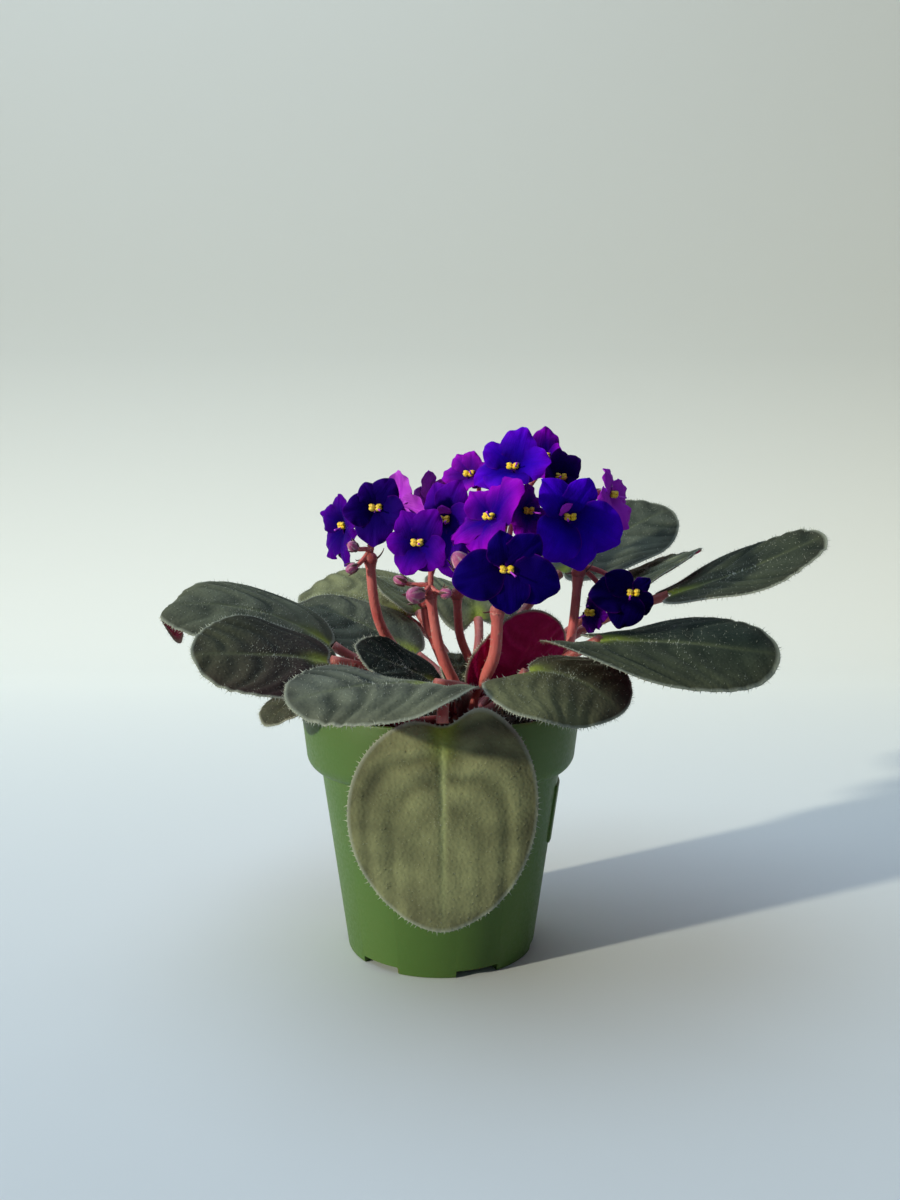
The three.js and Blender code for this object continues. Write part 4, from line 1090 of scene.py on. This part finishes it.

# %% [markdown]
# ## The flowers in numbers
#
# A row gives where a flower's throat is, the heading and slope that it faces, how far it is spun
# about that line, how long its petals are, and how far they lift from flat. Its `hue` is a tint and
# a glow: the tint goes from violet-blue at 0 to magenta at 1 and on to washed-out lilac, and the
# glow is painted light, how lit each flower is painted, from blue-black at 0 to a bright blue at 1.
# `bends` gives the petals that lie out of line, by number: their turn round the face, stretch and
# own lift. A `petaloid` is a stamen turned into a small petal, by its direction, length, width and
# lift.

# %% Flower table
BLOOMS = [
    {"at": (-34, -2, 154), "faces": (-150, -5), "spin": 20, "radius": 15.5, "lift": 20, "hue": (0.25, 0.24),
     "bends": {1: (5, 1.05, 30), 2: (5, 1.05, 20)}},
    {"at": (-22, -18, 160), "faces": (-95, 5), "spin": -5, "radius": 13.5, "lift": 30, "hue": (0.06, 0.11),
     "bends": {0: (10, 1.15, 25), 1: (-10, 0.95, 30), 2: (-5, 0.95, 35),
               3: (5, 1.05, 25), 4: (5, 1, 35)}},
    {"at": (-16, 7, 161), "faces": (45, 10), "spin": -5, "radius": 14.5, "lift": 15, "hue": (1.1, 0.48),
     "bends": {0: (10, 1.05, 25), 1: (-15, 1.15, 5)}},
    {"at": (-3, 14, 163), "faces": (135, 5), "spin": 10, "radius": 14, "lift": 10, "hue": (1.2, 0.48),
     "bends": {0: (5, 1.05, 5), 4: (5, 0.9, -5)}},
    {"at": (-7, -28, 148), "faces": (-110, 15), "spin": -10, "radius": 14.5, "lift": 20, "hue": (0.4, 0.28),
     "bends": {0: (15, 1.15, 20), 1: (0, 1.1, 20), 2: (-10, 0.8, 25),
               3: (0, 0.9, 30), 4: (-10, 1, 25)}},
    {"at": (2, -8, 156), "faces": (-115, 5), "spin": 10, "radius": 16, "lift": 10, "hue": (0.3, 0.32),
     "bends": {0: (5, 1.15, 10), 1: (-25, 1.1, 0), 2: (15, 0.85, -10),
               3: (0, 1.25, 5), 4: (5, 0.9, 25)},
     "petaloid": (95, 6.5, 5.5, 50)},
    {"at": (17, -30, 156), "faces": (-130, 40), "spin": 25, "radius": 15.5, "lift": 30, "hue": (0.9, 0.4),
     "bends": {0: (0, 1.05, 35), 1: (-15, 1.1, 35), 2: (5, 1, 15),
               3: (-5, 1.05, 15), 4: (25, 1.25, 35)}},
    {"at": (21, -48, 141), "faces": (-85, -10), "spin": -5, "radius": 17, "lift": 10, "hue": (0, 0.12),
     "bends": {0: (0, 1.1, 10), 1: (-20, 0.95, 15), 2: (0, 1.05, 10),
               3: (10, 0.85, 10), 4: (0, 1.1, 10)}},
    {"at": (11, 8, 172), "faces": (-115, 25), "spin": 5, "radius": 11.5, "lift": 30, "hue": (1.1, 0.4),
     "bends": {0: (20, 1.1, 45), 1: (-5, 1.1, 30), 2: (-5, 1, 35), 3: (-5, 1, 40)}},
    {"at": (26, -4, 174), "faces": (-105, 30), "spin": 10, "radius": 16, "lift": 25, "hue": (0.3, 0.85),
     "bends": {0: (10, 1.25, 30), 1: (5, 1.1, 25), 2: (5, 1, 20), 3: (-20, 1.05, 35), 4: (5, 1, 30)}},
    {"at": (39, 20, 179), "faces": (-90, 25), "spin": 15, "radius": 13, "lift": 30, "hue": (0.85, 0.4),
     "bends": {0: (15, 1.2, 30), 4: (-5, 0.8, 60)}},
    {"at": (43, 4, 171), "faces": (-70, 15), "spin": -20, "radius": 11.5, "lift": 35, "hue": (0.1, 0.06),
     "bends": {0: (10, 1.2, 35), 1: (-15, 1.25, 35), 2: (5, 0.95, 45),
               3: (-5, 0.95, 40), 4: (-15, 0.7, 35)}},
    {"at": (44, -18, 157), "faces": (-75, 0), "spin": 10, "radius": 17.5, "lift": 15, "hue": (0.16, 1),
     "bends": {0: (0, 1.1, 15), 1: (-10, 1.15, 10), 2: (25, 1.1, 25),
               3: (0, 1.05, 10), 4: (-15, 1.2, 15)},
     "petaloid": (120, 6.5, 6, 45)},
    {"at": (30, -8, 159), "faces": (-55, 5), "spin": -20, "radius": 12, "lift": 20, "hue": (1, 0.32),
     "bends": {0: (0, 0.8, 10), 1: (-10, 1.1, 25), 4: (-5, 1, 15)}},
    {"at": (61, 0, 165), "faces": (-35, 0), "spin": 0, "radius": 12.5, "lift": 20, "hue": (1.7, 0.48),
     "bends": {0: (-15, 0.8, 20), 1: (-5, 1.1, 10), 2: (10, 1.05, 15),
               3: (5, 1.15, 30), 4: (10, 0.95, 10)}},
    {"at": (67, -14, 131), "faces": (-85, -10), "spin": -10, "radius": 13, "lift": 10, "hue": (0, 0.01),
     "bends": {0: (-5, 0.75, 20), 1: (25, 1.1, 5), 2: (-5, 1.15, 0),
               3: (-10, 1.05, 5), 4: (-25, 0.85, -5)}},
    {"at": (55, -4, 123), "faces": (-140, -10), "spin": 15, "radius": 8, "lift": 15, "hue": (0.4, 0.16),
     "bends": {1: (-15, 0.85, -25), 2: (30, 1.15, 5), 3: (5, 0.85, 10)}},
]
# The direction of each petal round the face, its length in flower radii, and its breadth in lengths.
PETALS = [(52, 0.8, 0.84), (128, 0.8, 0.84), (200, 1, 0.88), (270, 1.03, 0.94), (340, 1, 0.88)]


def flower_frame(bloom):
    """The matrix from a flower's own frame, facing +Z with its upper petals towards +Y."""
    face = direction(*bloom["faces"])
    up = (Vector((0, 0, 1)) - face * face.z).normalized()
    right = up.cross(face)
    turn = Matrix((right, up, face)).transposed().to_4x4()
    return Matrix.Translation(bloom["at"]) @ turn


print("flowers:", len(BLOOMS))

# %% [markdown]
# ## Petals
#
# A petal is made as a leaf is: a thin round pad, drawn out by a formula. It is narrow at the throat
# and widest past its middle, its edges roll back a little, and it ripples at random. A cloth
# simulation could make such folds too, but a formula is quicker and easier to steer. The five
# overlap like tiles, each tipped a few degrees about its own length so that one edge lies over its
# neighbour and the other under.

# %% Petal form
PETAL = {"thickness": 0.5, "spokes": 40, "rings": 9, "lay": 8, "start": 0.7, "hinge": 1.56, "lift": 0.4,
         "wander": 0.05, "point": 0.07, "breadth": 1.14, "taper": 0.42}
# Heights in petal lengths.
PETAL_RELIEF = {"edges": 0.10, "belly": 0.06, "droop": 0.12, "crease": 0.03}
# Each ripple's height in petal lengths, how fast it grows outwards, and its waves round the petal.
RIPPLES = [(0.042, 4, 5), (0.024, 3, 9)]


def petal_blank(bm):
    """Add a flat round pad to a mesh, and return its vertices."""
    pad = bmesh.new()
    spin_section(pad, lens_section(PETAL["rings"], 8), PETAL["spokes"])
    mesh = keep_mesh(pad, "petal_blank")
    known = len(bm.verts)
    bm.from_mesh(mesh)
    bpy.data.meshes.remove(mesh)
    bm.verts.ensure_lookup_table()
    return bm.verts[known:]


def petal_rise(point, length, share, phases):
    """How far a petal's point stands off the flat, before the petal is tipped and lifted."""
    along, across, height = point
    spread, around = math.hypot(along, across), math.atan2(across, along)
    rise = height * PETAL["thickness"] / 2 - PETAL_RELIEF["edges"] * length * across ** 2 * share
    rise += (PETAL_RELIEF["belly"] * length * math.sin(math.pi * share)
             - PETAL_RELIEF["droop"] * length * share ** 3)
    for (size, power, waves), phase in zip(RIPPLES, phases):
        rise += size * length * spread ** power * math.sin(waves * around + phase)
    return rise - PETAL_RELIEF["crease"] * length * math.exp(-((across / 0.12) ** 2)) * share


def grow_petal(bm, form, hue, chance, layers):
    """Add one petal to a flower, in the flower's own frame. The form is an angle and three sizes."""
    angle, length, width, lift = form
    angle = math.radians(angle) + chance.uniform(-PETAL["wander"], PETAL["wander"])
    lift, lay = math.radians(lift), math.radians(PETAL["lay"])
    phases = [chance.uniform(0, 2 * math.pi) for _ in range(3)]
    point = chance.uniform(0.0, PETAL["point"])
    for vert in petal_blank(bm):
        along, across, _ = vert.co
        share, spread = (along + 1) / 2, math.hypot(along, across)
        out = share * (length - PETAL["start"]) + PETAL["start"]
        out *= 1 + point * (math.exp(-((across / 0.3) ** 2)) - 0.4) * share ** 4
        side = across * width / 2 * (PETAL["breadth"] - PETAL["taper"] * share ** 2)
        rise = petal_rise(vert.co, length, share, phases)
        side, rise = (side * math.cos(lay) - rise * math.sin(lay),
                      side * math.sin(lay) + rise * math.cos(lay))
        past_hinge = max(out - PETAL["hinge"], 0)
        up = rise + past_hinge * math.sin(lift) + PETAL["lift"]
        out = min(out, PETAL["hinge"]) + past_hinge * math.cos(lift)
        vert.co = Vector((out * math.cos(angle) - side * math.sin(angle),
                          out * math.sin(angle) + side * math.cos(angle), up))
        vert[layers[0]] = (share, abs(across), *hue)
        vert[layers[1]] = (across * 0.5 + 0.5, clamp((spread - 0.95) / 0.04), phases[2] / 6.3, 1)


print("petals are grown by grow_petal")

# %% [markdown]
# ## The front of a petal
#
# The petals are a deep violet, darkened almost to navy towards the throat with painted shade, and
# purple to magenta at the edges. Fine veins run from the throat, and the surface glistens as if
# dusted with sugar. Sheen would turn such dark petals grey, so the shader's own shine is nearly off,
# and bumps do the glistening. The colours are laid over each other from the deepest to the palest.

# %% Petal front
VIOLETS = {"night": ((0.0015, 0.0002, 0.035), (0.003, 0.0003, 0.060)),
           "bright": ((0.011, 0.0005, 0.58), (0.034, 0.001, 0.90)),
           "purple": ((0.20, 0.001, 0.44), (0.38, 0.004, 0.60)),
           "throat_shade": (0.004, 0.0003, 0.06), "vein": (0.006, 0.0003, 0.10), "edge": (0.24, 0.01, 0.50),
           "washed out": (0.46, 0.035, 0.70)}
FIBRES = {"across": 26.0, "along": 2.2, "petal": 40.0}
SILK = {"Roughness": 0.55, "Specular_IOR_Level": 0.012, "Sheen_Weight": 0.0}


def petal_fibres(tree, across, share, own=0.0):
    """Veins that run from the throat outwards, different on each petal by its own number."""
    flow = add_node(tree, "ShaderNodeCombineXYZ", {
        "X": compute(tree, "MULTIPLY", across, FIBRES["across"]),
        "Y": compute(tree, "MULTIPLY", share, FIBRES["along"]),
        "Z": compute(tree, "MULTIPLY", own, FIBRES["petal"])})
    return fibre_noise(tree, flow.outputs["Vector"])


petal_front, tree, shader = new_material("petal_front", **SILK)
share, aside, tint, painted_light = read_numbers(tree, "shade")
across, rim, own = read_numbers(tree, "form")[:3]
fibres = petal_fibres(tree, across, share, own)
cloud = mottle(tree, 170, 2)
night, bright, purple = (blend(tree, cloud, *VIOLETS[name]) for name in ("night", "bright", "purple"))
# Painted light: each flower's glow sets how lit its violet is painted, from blue-black to bright blue.
violet = blend(tree, painted_light, night, bright)
outward = remap(tree, compute(tree, "MULTIPLY", share, share), 0.05, 0.85)
turning = compute(tree, "ADD", outward, compute(tree, "MULTIPLY", aside, 0.5))
petal_colour = blend(tree, compute(tree, "MULTIPLY", turning, tint, clamp=True), violet, purple)
# Painted shade: the petals darken towards the throat, where the flower is deepest.
throat_shade = remap(tree, share, 0.1, 0.75, 0.92, 0.0)
untinted = compute(tree, "SUBTRACT", 1.0, compute(tree, "MULTIPLY", tint, 0.55))
deep = blend(tree, compute(tree, "MULTIPLY", throat_shade, untinted), petal_colour, VIOLETS["throat_shade"])
fibred = blend(tree, fibres, deep, VIOLETS["vein"], 0.35)
edged = blend(tree, rim, fibred, VIOLETS["edge"], 0.2)
washed_out = compute(tree, "SUBTRACT", tint, 1.0, clamp=True)
paint(tree, shader, blend(tree, washed_out, edged, VIOLETS["washed out"]))
grains = add_node(tree, "ShaderNodeTexVoronoi", {"Vector": object_place(tree), "Scale": 2600})
glints = compute(tree, "MULTIPLY", grains.outputs["Distance"], 0.35)
roughen(tree, shader, compute(tree, "ADD", glints, fibres), 0.0003, 0.7)
print("petal front:", petal_front.name)

# %% [markdown]
# ## The back of a petal
#
# The backs are paler and pinker than the fronts, because the colour lies in the front skin. The
# same numbers on the vertices drive them.

# %% Petal back
LILACS = {"deep": (0.42, 0.025, 0.70), "light": (0.62, 0.090, 0.88), "blue": (0.06, 0.003, 0.30),
          "side": (0.38, 0.10, 0.50)}
petal_back, tree, shader = new_material("petal_back", **SILK)
share, aside, tint = read_numbers(tree, "shade")[:3]
across = read_numbers(tree, "form")[0]
lilac = blend(tree, mottle(tree, 170, 2), LILACS["deep"], LILACS["light"])
flushed = blend(tree, tint, LILACS["blue"], lilac)
paint(tree, shader, blend(tree, aside, flushed, LILACS["side"], 0.35))
roughen(tree, shader, petal_fibres(tree, across, share), 0.0003)
print("petal back:", petal_back.name)

# %% [markdown]
# ## The flowers
#
# Each flower is one piece: five petals, now and then a petaloid, the short tube behind them and the
# thread of the style, which leans out of the throat to one side. The flower is grown facing up, in
# its own frame, and then moved to its place.

# %% Flowers
# The tube's rings as (height, radius), and the style's handles as (height, share of its lean).
TUBE = [(-3.3, 1.3), (-1.6, 1.6), (0, 2.5), (0.5, 2.9)]
STYLE = {"handles": [(0, 0), (2, 0.6), (4, 1), (5.6, 1.3)], "lean": (1.7, -1.0), "steps": 8,
         "radius": 0.28, "tip": 0.42}
PETALOID_HUE = (1.8, 1)
# Where a petal's two sides stand among a flower's materials.
FRONT, BACK = 0, 1


def petal_forms(bloom):
    """The angle, length, width and lift of each of a flower's petals, from its table row."""
    forms = []
    for index, (angle, length, breadth) in enumerate(PETALS):
        turn, stretch, lift = bloom["bends"].get(index, (0, 1, bloom["lift"]))
        length *= stretch * bloom["radius"]
        forms.append((angle + turn + bloom["spin"], length, length * breadth, lift))
    return forms


def grow_throat(bm, chance):
    """Add the tube and the style behind and in front of the petals."""
    sweep(bm, [Vector((0, 0, height)) for height, _ in TUBE], [radius for _, radius in TUBE], 20, BACK)
    lean = Vector((chance.choice((-1, 1)) * STYLE["lean"][0], STYLE["lean"][1], 0))
    path = bezier(*(Vector((0, 0, height)) + lean * share for height, share in STYLE["handles"]),
                  STYLE["steps"])
    sweep(bm, path, [STYLE["radius"]] * STYLE["steps"] + [STYLE["tip"]], 8, BACK)


def grow_flower(number, bloom):
    """Grow a flower's petals and throat, and put it in its place on the plant."""
    bm = bmesh.new()
    layers = (bm.verts.layers.float_color.new("shade"), bm.verts.layers.float_color.new("form"))
    chance = random.Random(100 + number)
    for form in petal_forms(bloom):
        grow_petal(bm, form, bloom["hue"], chance, layers)
    bm.normal_update()
    for face in bm.faces:
        face.material_index = FRONT if face.normal.z > 0 else BACK
    if "petaloid" in bloom:
        grow_petal(bm, bloom["petaloid"], PETALOID_HUE, chance, layers)
    petals = set(bm.verts)
    grow_throat(bm, chance)
    for vert in bm.verts:
        if vert not in petals:
            vert[layers[0]] = (0.5, 0.5, 1, 1)
            vert[layers[1]] = (0.5, 0, 0, 1)
    bmesh.ops.transform(bm, matrix=flower_frame(bloom), verts=bm.verts)
    materials = [petal_front, petal_back]
    return finish_piece(f"flower_{number:02d}", bm, materials, [f"bloom_{number:02d}"])


flowers = [grow_flower(number, bloom) for number, bloom in enumerate(BLOOMS, 1)]
print("flowers:", len(flowers), "faces each:", len(flowers[0].data.polygons))

# %% [markdown]
# ## Anthers
#
# The bright yellow eye is two anthers joined at their tips, each a pair of plump sacs with a seam
# between them, on short pale filaments. Four squashed spheres, dimpled with noise, make them.

# %% Anthers
YELLOWS = {"deep": (1.0, 0.54, 0.004), "light": (1.0, 0.80, 0.03), "cream": (0.85, 0.66, 0.25)}
SAC = {"apart": 1.15, "half": 0.55, "height": 2.0, "drift": 0.15, "turn": 0.25, "tip": 0.3,
       "size": (1.15, 0.72, 0.95), "dent": 0.12}
FILAMENT = {"radius": 0.4, "steps": 5, "sides": 8}
pollen, tree, shader = new_material("pollen_yellow", Roughness=0.6, Subsurface_Weight=0.1,
                                    Subsurface_Scale=0.001)
grain = mottle(tree, 1500, 2.4)
yellow = blend(tree, grain, YELLOWS["deep"], YELLOWS["light"])
paint(tree, shader, blend(tree, mottle(tree, 420, 5), yellow, YELLOWS["cream"], 0.3))
roughen(tree, shader, grain, 0.00025)


def grow_anthers(number, bloom):
    """Grow four sacs and two filaments, and put them in their flower's throat."""
    bm = bmesh.new()
    chance = random.Random(200 + number)
    for side in (-1, 1):
        for half in (-1, 1):
            lean = Matrix.Rotation(side * SAC["turn"], 4, "Z") @ Matrix.Rotation(half * SAC["tip"], 4, "X")
            height = SAC["height"] + chance.uniform(-SAC["drift"], SAC["drift"])
            place = Matrix.Translation((side * SAC["apart"], half * SAC["half"], height))
            sac = bmesh.ops.create_uvsphere(bm, u_segments=18, v_segments=12, radius=1,
                                            matrix=place @ lean @ Matrix.Diagonal((*SAC["size"], 1)))
            for vert in sac["verts"]:
                dimple = SAC["dent"] * noise.noise(vert.co * 2.2 + Vector((number, 0, 0)))
                vert.co += (vert.co - place.translation) * dimple
        root = Vector((side * 0.5, 0, -0.2))
        path = bezier(root, root + Vector((0, 0, 1)), Vector((side, 0, 1)), Vector((side * 1.1, 0, 1.6)),
                      FILAMENT["steps"])
        sweep(bm, path, [FILAMENT["radius"]] * len(path), FILAMENT["sides"])
    bmesh.ops.transform(bm, matrix=flower_frame(bloom), verts=bm.verts)
    return finish_piece(f"anther_pair_{number:02d}", bm, [pollen], [f"anthers_{number:02d}"])


anthers = [grow_anthers(number, bloom) for number, bloom in enumerate(BLOOMS, 1)]
print("anther pairs:", len(anthers))

# %% [markdown]
# ## The flower stalks in numbers
#
# A flower stalk rises from between the leaves, swells at a knot and forks into slender side
# branches. Each branch carries a flower in a cup of five narrow sepals, or a bud. A row gives the
# places that the stalk passes, the flowers that it carries by number, its buds as a place and a
# length, and its radius.

# %% Stalk table
STALKS = [
    {"path": [(3.5, -3, 86), (-6, 1, 96), (-16, 4, 107), (-21.5, -2, 117), (-24, -6, 128), (-25, -8, 142)],
     "flowers": [1, 2, 3], "buds": [(-30, -20, 147, 5), (-31, -14, 139, 5)], "radius": 2.1},
    {"path": [(6, -6.5, 87), (6, -9, 95), (2, -14, 105), (-1, -15.5, 114), (-3.5, -16, 130)],
     "flowers": [5], "buds": [(-14, -17, 135, 5), (-8.5, -24, 130.5, 8), (2, -22, 131, 5)], "radius": 2.1},
    {"path": [(6.5, 2, 87), (2.5, 8, 98), (-1.5, 8, 108), (-5, 5, 117), (-6, 3, 126)],
     "flowers": [4], "buds": [], "radius": 1.9},
    {"path": [(11.5, 1, 86), (15, 6, 92), (11, 14, 102), (7, 12, 113), (6, 10, 128)], "flowers": [6, 9, 11],
     "buds": [], "radius": 1.9},
    {"path": [(11, -5.5, 87), (12, -8, 94), (17, -17, 104), (19, -22, 112), (19.5, -24, 125)],
     "flowers": [7, 8, 10, 14], "buds": [(7, -34, 142, 9)], "radius": 2.4},
    {"path": [(13.5, -3, 86), (26, 8, 95), (38, 4, 102), (45, -2, 108), (47.5, -4, 116), (49.5, -4, 137)],
     "flowers": [12, 13, 15, 16, 17], "buds": [(37, -14, 145, 5)], "radius": 2.0},
]
print("flower stalks:", len(STALKS), "buds:", sum(len(stalk["buds"]) for stalk in STALKS))

# %% [markdown]
# ## The skins of buds and sepals
#
# A bud is pink with pale furrows, and darker at its tip, where the petals show. A sepal is thin,
# brownish maroon and matt. Sheen does for their down, which is too short to be seen as hairs.

# %% Bud materials
PINKS = {"deep": (0.36, 0.04, 0.18), "light": (0.54, 0.13, 0.30), "furrow": (0.88, 0.70, 0.74),
         "tip": (0.26, 0.02, 0.22)}
SEPAL_BROWNS = {"dark": (0.07, 0.008, 0.016), "light": (0.14, 0.045, 0.03)}
bud_skin, tree, shader = new_material("bud_pink", Roughness=0.5, Sheen_Weight=0.4, Subsurface_Weight=0.1,
                                      Subsurface_Scale=0.001)
ripe, furrow = read_numbers(tree, "shade")[:2]
pink = blend(tree, mottle(tree, 350, 2), PINKS["deep"], PINKS["light"])
striped = blend(tree, furrow, pink, PINKS["furrow"])
paint(tree, shader, blend(tree, ripe, striped, PINKS["tip"]))
roughen(tree, shader, mottle(tree, 1500, 2), 0.0001)
sepal_skin, tree, shader = new_material("sepal", Roughness=0.55, Sheen_Weight=0.4)
paint(tree, shader, blend(tree, mottle(tree, 300, 2.5), SEPAL_BROWNS["dark"], SEPAL_BROWNS["light"]))
roughen(tree, shader, mottle(tree, 1800, 2), 0.0001)
print("bud materials:", bud_skin.name, sepal_skin.name)

# %% [markdown]
# ## Buds and sepals
#
# A bud is an egg of folded petals, held by the same five sepals as an open flower. Its furrows are
# real grooves on a sphere. A sepal is a narrow pad, cupped round what it holds: a sphere again,
# which a formula flattens, wraps round the foot and draws out to its length.

# %% Buds and sepals
STALK_MATERIALS = {"stem": 0, "hair": 1, "bud": 2, "sepal": 3}
SEPAL = {"count": 5, "wander": 0.15, "lengths": (0.85, 1.1), "foot": 0.75, "belly": 0.25, "depth": 0.22,
         "breadth": 0.42, "taper": 1.15}
BUD = {"furrows": 5, "furrow_width": 0.35, "taper": 0.12, "groove": 0.10, "slim": 0.75, "ripe_from": 0.3,
       "sepal_radius": 0.36, "sepal_length": 0.85, "sepal_flare": 0.5}


def frame_along(way, place):
    """The matrix that stands +Z along a way, at a place."""
    return Matrix.Translation(place) @ Vector((0, 0, 1)).rotation_difference(way).to_matrix().to_4x4()


def set_down(bm, blank, way, place, material):
    """Stand a shape made about the origin along a way, at a place, and give it a material."""
    bmesh.ops.transform(bm, matrix=frame_along(way, place), verts=blank["verts"])
    for face in {face for vert in blank["verts"] for face in vert.link_faces}:
        face.material_index = STALK_MATERIALS[material]


def grow_sepals(bm, place, way, radius, length, chance, flare=0.25):
    """Five narrow pads round a way, from a foot outwards."""
    for index in range(SEPAL["count"]):
        heading = 2 * math.pi * index / SEPAL["count"] + chance.uniform(-SEPAL["wander"], SEPAL["wander"])
        blank = bmesh.ops.create_uvsphere(bm, u_segments=10, v_segments=8, radius=1)
        long = length * chance.uniform(*SEPAL["lengths"])
        for vert in blank["verts"]:
            side, depth, up = vert.co
            share = (up + 1) / 2
            spread = SEPAL["foot"] + flare * share ** 2 + SEPAL["belly"] * math.sin(math.pi * share)
            out = radius * spread + depth * SEPAL["depth"]
            turn = heading + side * SEPAL["breadth"] * (SEPAL["taper"] - share)
            vert.co = Vector((out * math.cos(turn), out * math.sin(turn), share * long))
        set_down(bm, blank, way, place, "sepal")


def grow_bud(bm, place, way, length, chance):
    """An egg with five furrows from its foot to its tip, and its sepals."""
    layer = bm.verts.layers.float_color["shade"]
    blank = bmesh.ops.create_uvsphere(bm, u_segments=40, v_segments=20, radius=1)
    for vert in blank["verts"]:
        heading, up = math.atan2(vert.co.y, vert.co.x), vert.co.z
        off_furrow = abs(math.sin(BUD["furrows"] / 2 * heading)) / BUD["furrow_width"]
        furrow = math.exp(-(off_furrow ** 2)) * (1 - up ** 4)
        plump = 1 - BUD["taper"] * up - BUD["groove"] * furrow
        slim = plump * BUD["slim"]
        vert.co = Vector((vert.co.x * slim, vert.co.y * slim, up)) * length / 2
        vert[layer] = (clamp(up - BUD["ripe_from"]) * 0.6, furrow * 0.8, 0, 1)
    set_down(bm, blank, way, place, "bud")
    grow_sepals(bm, place - way * length * 0.5, way, length * BUD["sepal_radius"],
                length * BUD["sepal_length"], chance, BUD["sepal_flare"])


print("a bud has", BUD["furrows"], "furrows and", SEPAL["count"], "sepals")

# %% [markdown]
# ## The side branches
#
# Each side branch (pedicel) rises from the knot, bends over and meets its flower or bud from behind.
# A flower sits in a small cup, swept as the stems are. A thread-like pair of bracts stands at each
# knot.

# %% Side branches
PEDICEL = {"rise": 6, "radii": (1.05, 0.85), "steps": 14, "sides": 12, "dark": (0.55, 0.25)}
BUD_PEDICEL = {"rise": 6, "radii": (0.95, 0.8), "steps": 12, "sides": 12, "dark": (0.5, 0.2)}
CALYX = {"length": 5, "behind": 3.6, "rings": [(0, 0.95), (1.2, 1.7), (2.6, 1.9)], "mouth": 1.7,
         "sides": 14, "sepal_foot": 0.8, "sepal_radius": 1.9, "sepal_length": 0.95}
BRACT = {"steps": 6, "radii": (0.45, 0.12), "sides": 8}


def grow_branch(bm, kind, top, near_end, end):
    """Sweep one side branch from the knot to its end."""
    path = bezier(top, top + Vector((0, 0, kind["rise"])), near_end, end, kind["steps"])
    shade_stem(bm, sweep(bm, path, taper(*kind["radii"], len(path)), kind["sides"]), kind["dark"])


def grow_flower_branch(bm, top, bloom, chance):
    """A side branch with the cup and the sepals of an open flower."""
    face = direction(*bloom["faces"])
    mouth = Vector(bloom["at"]) - face * CALYX["behind"]
    foot = mouth - face * CALYX["length"]
    grow_branch(bm, PEDICEL, top, foot - face * (PEDICEL["rise"] - 1), foot + face)
    cup = [foot + face * up for up, _ in CALYX["rings"]] + [mouth]
    radii = [radius for _, radius in CALYX["rings"]] + [CALYX["mouth"]]
    shade_stem(bm, sweep(bm, cup, radii, CALYX["sides"]), (0.5, 0.6))
    grow_sepals(bm, foot + face * CALYX["sepal_foot"], face, CALYX["sepal_radius"],
                CALYX["length"] * CALYX["sepal_length"], chance)


def grow_bud_branch(bm, top, bud, chance):
    """A side branch with a bud at its end."""
    place, length = Vector(bud[:3]), bud[3]
    way = (place - top).normalized()
    foot = place - way * length / 4
    grow_branch(bm, BUD_PEDICEL, top, foot - way * BUD_PEDICEL["rise"], foot)
    grow_bud(bm, place, way, length, chance)


def grow_bracts(bm, top):
    """Two thin scales at the knot, one to each side."""
    for side in (-1, 1):
        tip = top + Vector((side * 5, -1.5, 2 + 2 * side))
        path = bezier(top + Vector((side * 1.5, 0, 0)), top + Vector((side * 3, 0, 0)),
                      tip - Vector((0, 0, 1)), tip, BRACT["steps"])
        sweep(bm, path, taper(*BRACT["radii"], len(path)), BRACT["sides"], STALK_MATERIALS["sepal"])


print("calyx length in mm:", CALYX["length"])

# %% [markdown]
# ## The flower stalks
#
# Each stalk with its knot, side branches, buds and sepals is one piece, as it grew. The hairs come
# last, on faces of the stem that a seeded draw picks, because growing them changes the faces.

# %% Flower stalks
STALK = {"steps": 6, "sides": 20, "thin": 0.82, "swell": (1.05, 1.15), "dark": (0, 0.4), "knot": 2.7}
STALK_HAIRS = {"share": 0.16, "length": 0.75, "width": 0.07, "lean": 0.4}


def grow_stalk(number, stalk):
    """Grow one flower stalk with all that it carries, apart from the open flowers."""
    bm = bmesh.new()
    layer = bm.verts.layers.float_color.new("shade")
    chance = random.Random(300 + number)
    path = smooth_path(stalk["path"], STALK["steps"])
    radii = taper(stalk["radius"], stalk["radius"] * STALK["thin"], len(path))
    radii[-2:] = [stalk["radius"] * swell for swell in STALK["swell"]]
    shade_stem(bm, sweep(bm, path, radii, STALK["sides"]), STALK["dark"])
    top = path[-1]
    knot = bmesh.ops.create_uvsphere(bm, u_segments=16, v_segments=10, radius=STALK["knot"],
                                     matrix=Matrix.Translation(top))
    for vert in knot["verts"]:
        vert[layer] = (0.6, 0, 0, 1)
    for flower in stalk["flowers"]:
        grow_flower_branch(bm, top, BLOOMS[flower - 1], chance)
    for bud in stalk["buds"]:
        grow_bud_branch(bm, top, bud, chance)
    grow_bracts(bm, top)
    skin = [face for face in bm.faces
            if face.material_index == STALK_MATERIALS["stem"] and len(face.verts) == 4]
    hairy = [face for face in skin if chance.random() < STALK_HAIRS["share"]]
    grow_hairs(bm, hairy, STALK_HAIRS["length"], STALK_HAIRS["width"], STALK_MATERIALS["hair"], chance,
               STALK_HAIRS["lean"])
    return finish_piece(f"stalk_and_buds_{number}", bm, [stem, hair, bud_skin, sepal_skin],
                        [f"flower_stalk_{number}"])


stalks = [grow_stalk(number, stalk) for number, stalk in enumerate(STALKS, 1)]
print("stalks:", len(stalks), "faces:", [len(piece.data.polygons) for piece in stalks])

# %% [markdown]
# ## Bring the scene up to date
#
# The dressed plant has to stay the size of the measured solids. The last call brings the scene up
# to date.

# %% Update the scene
bpy.context.view_layer.update()
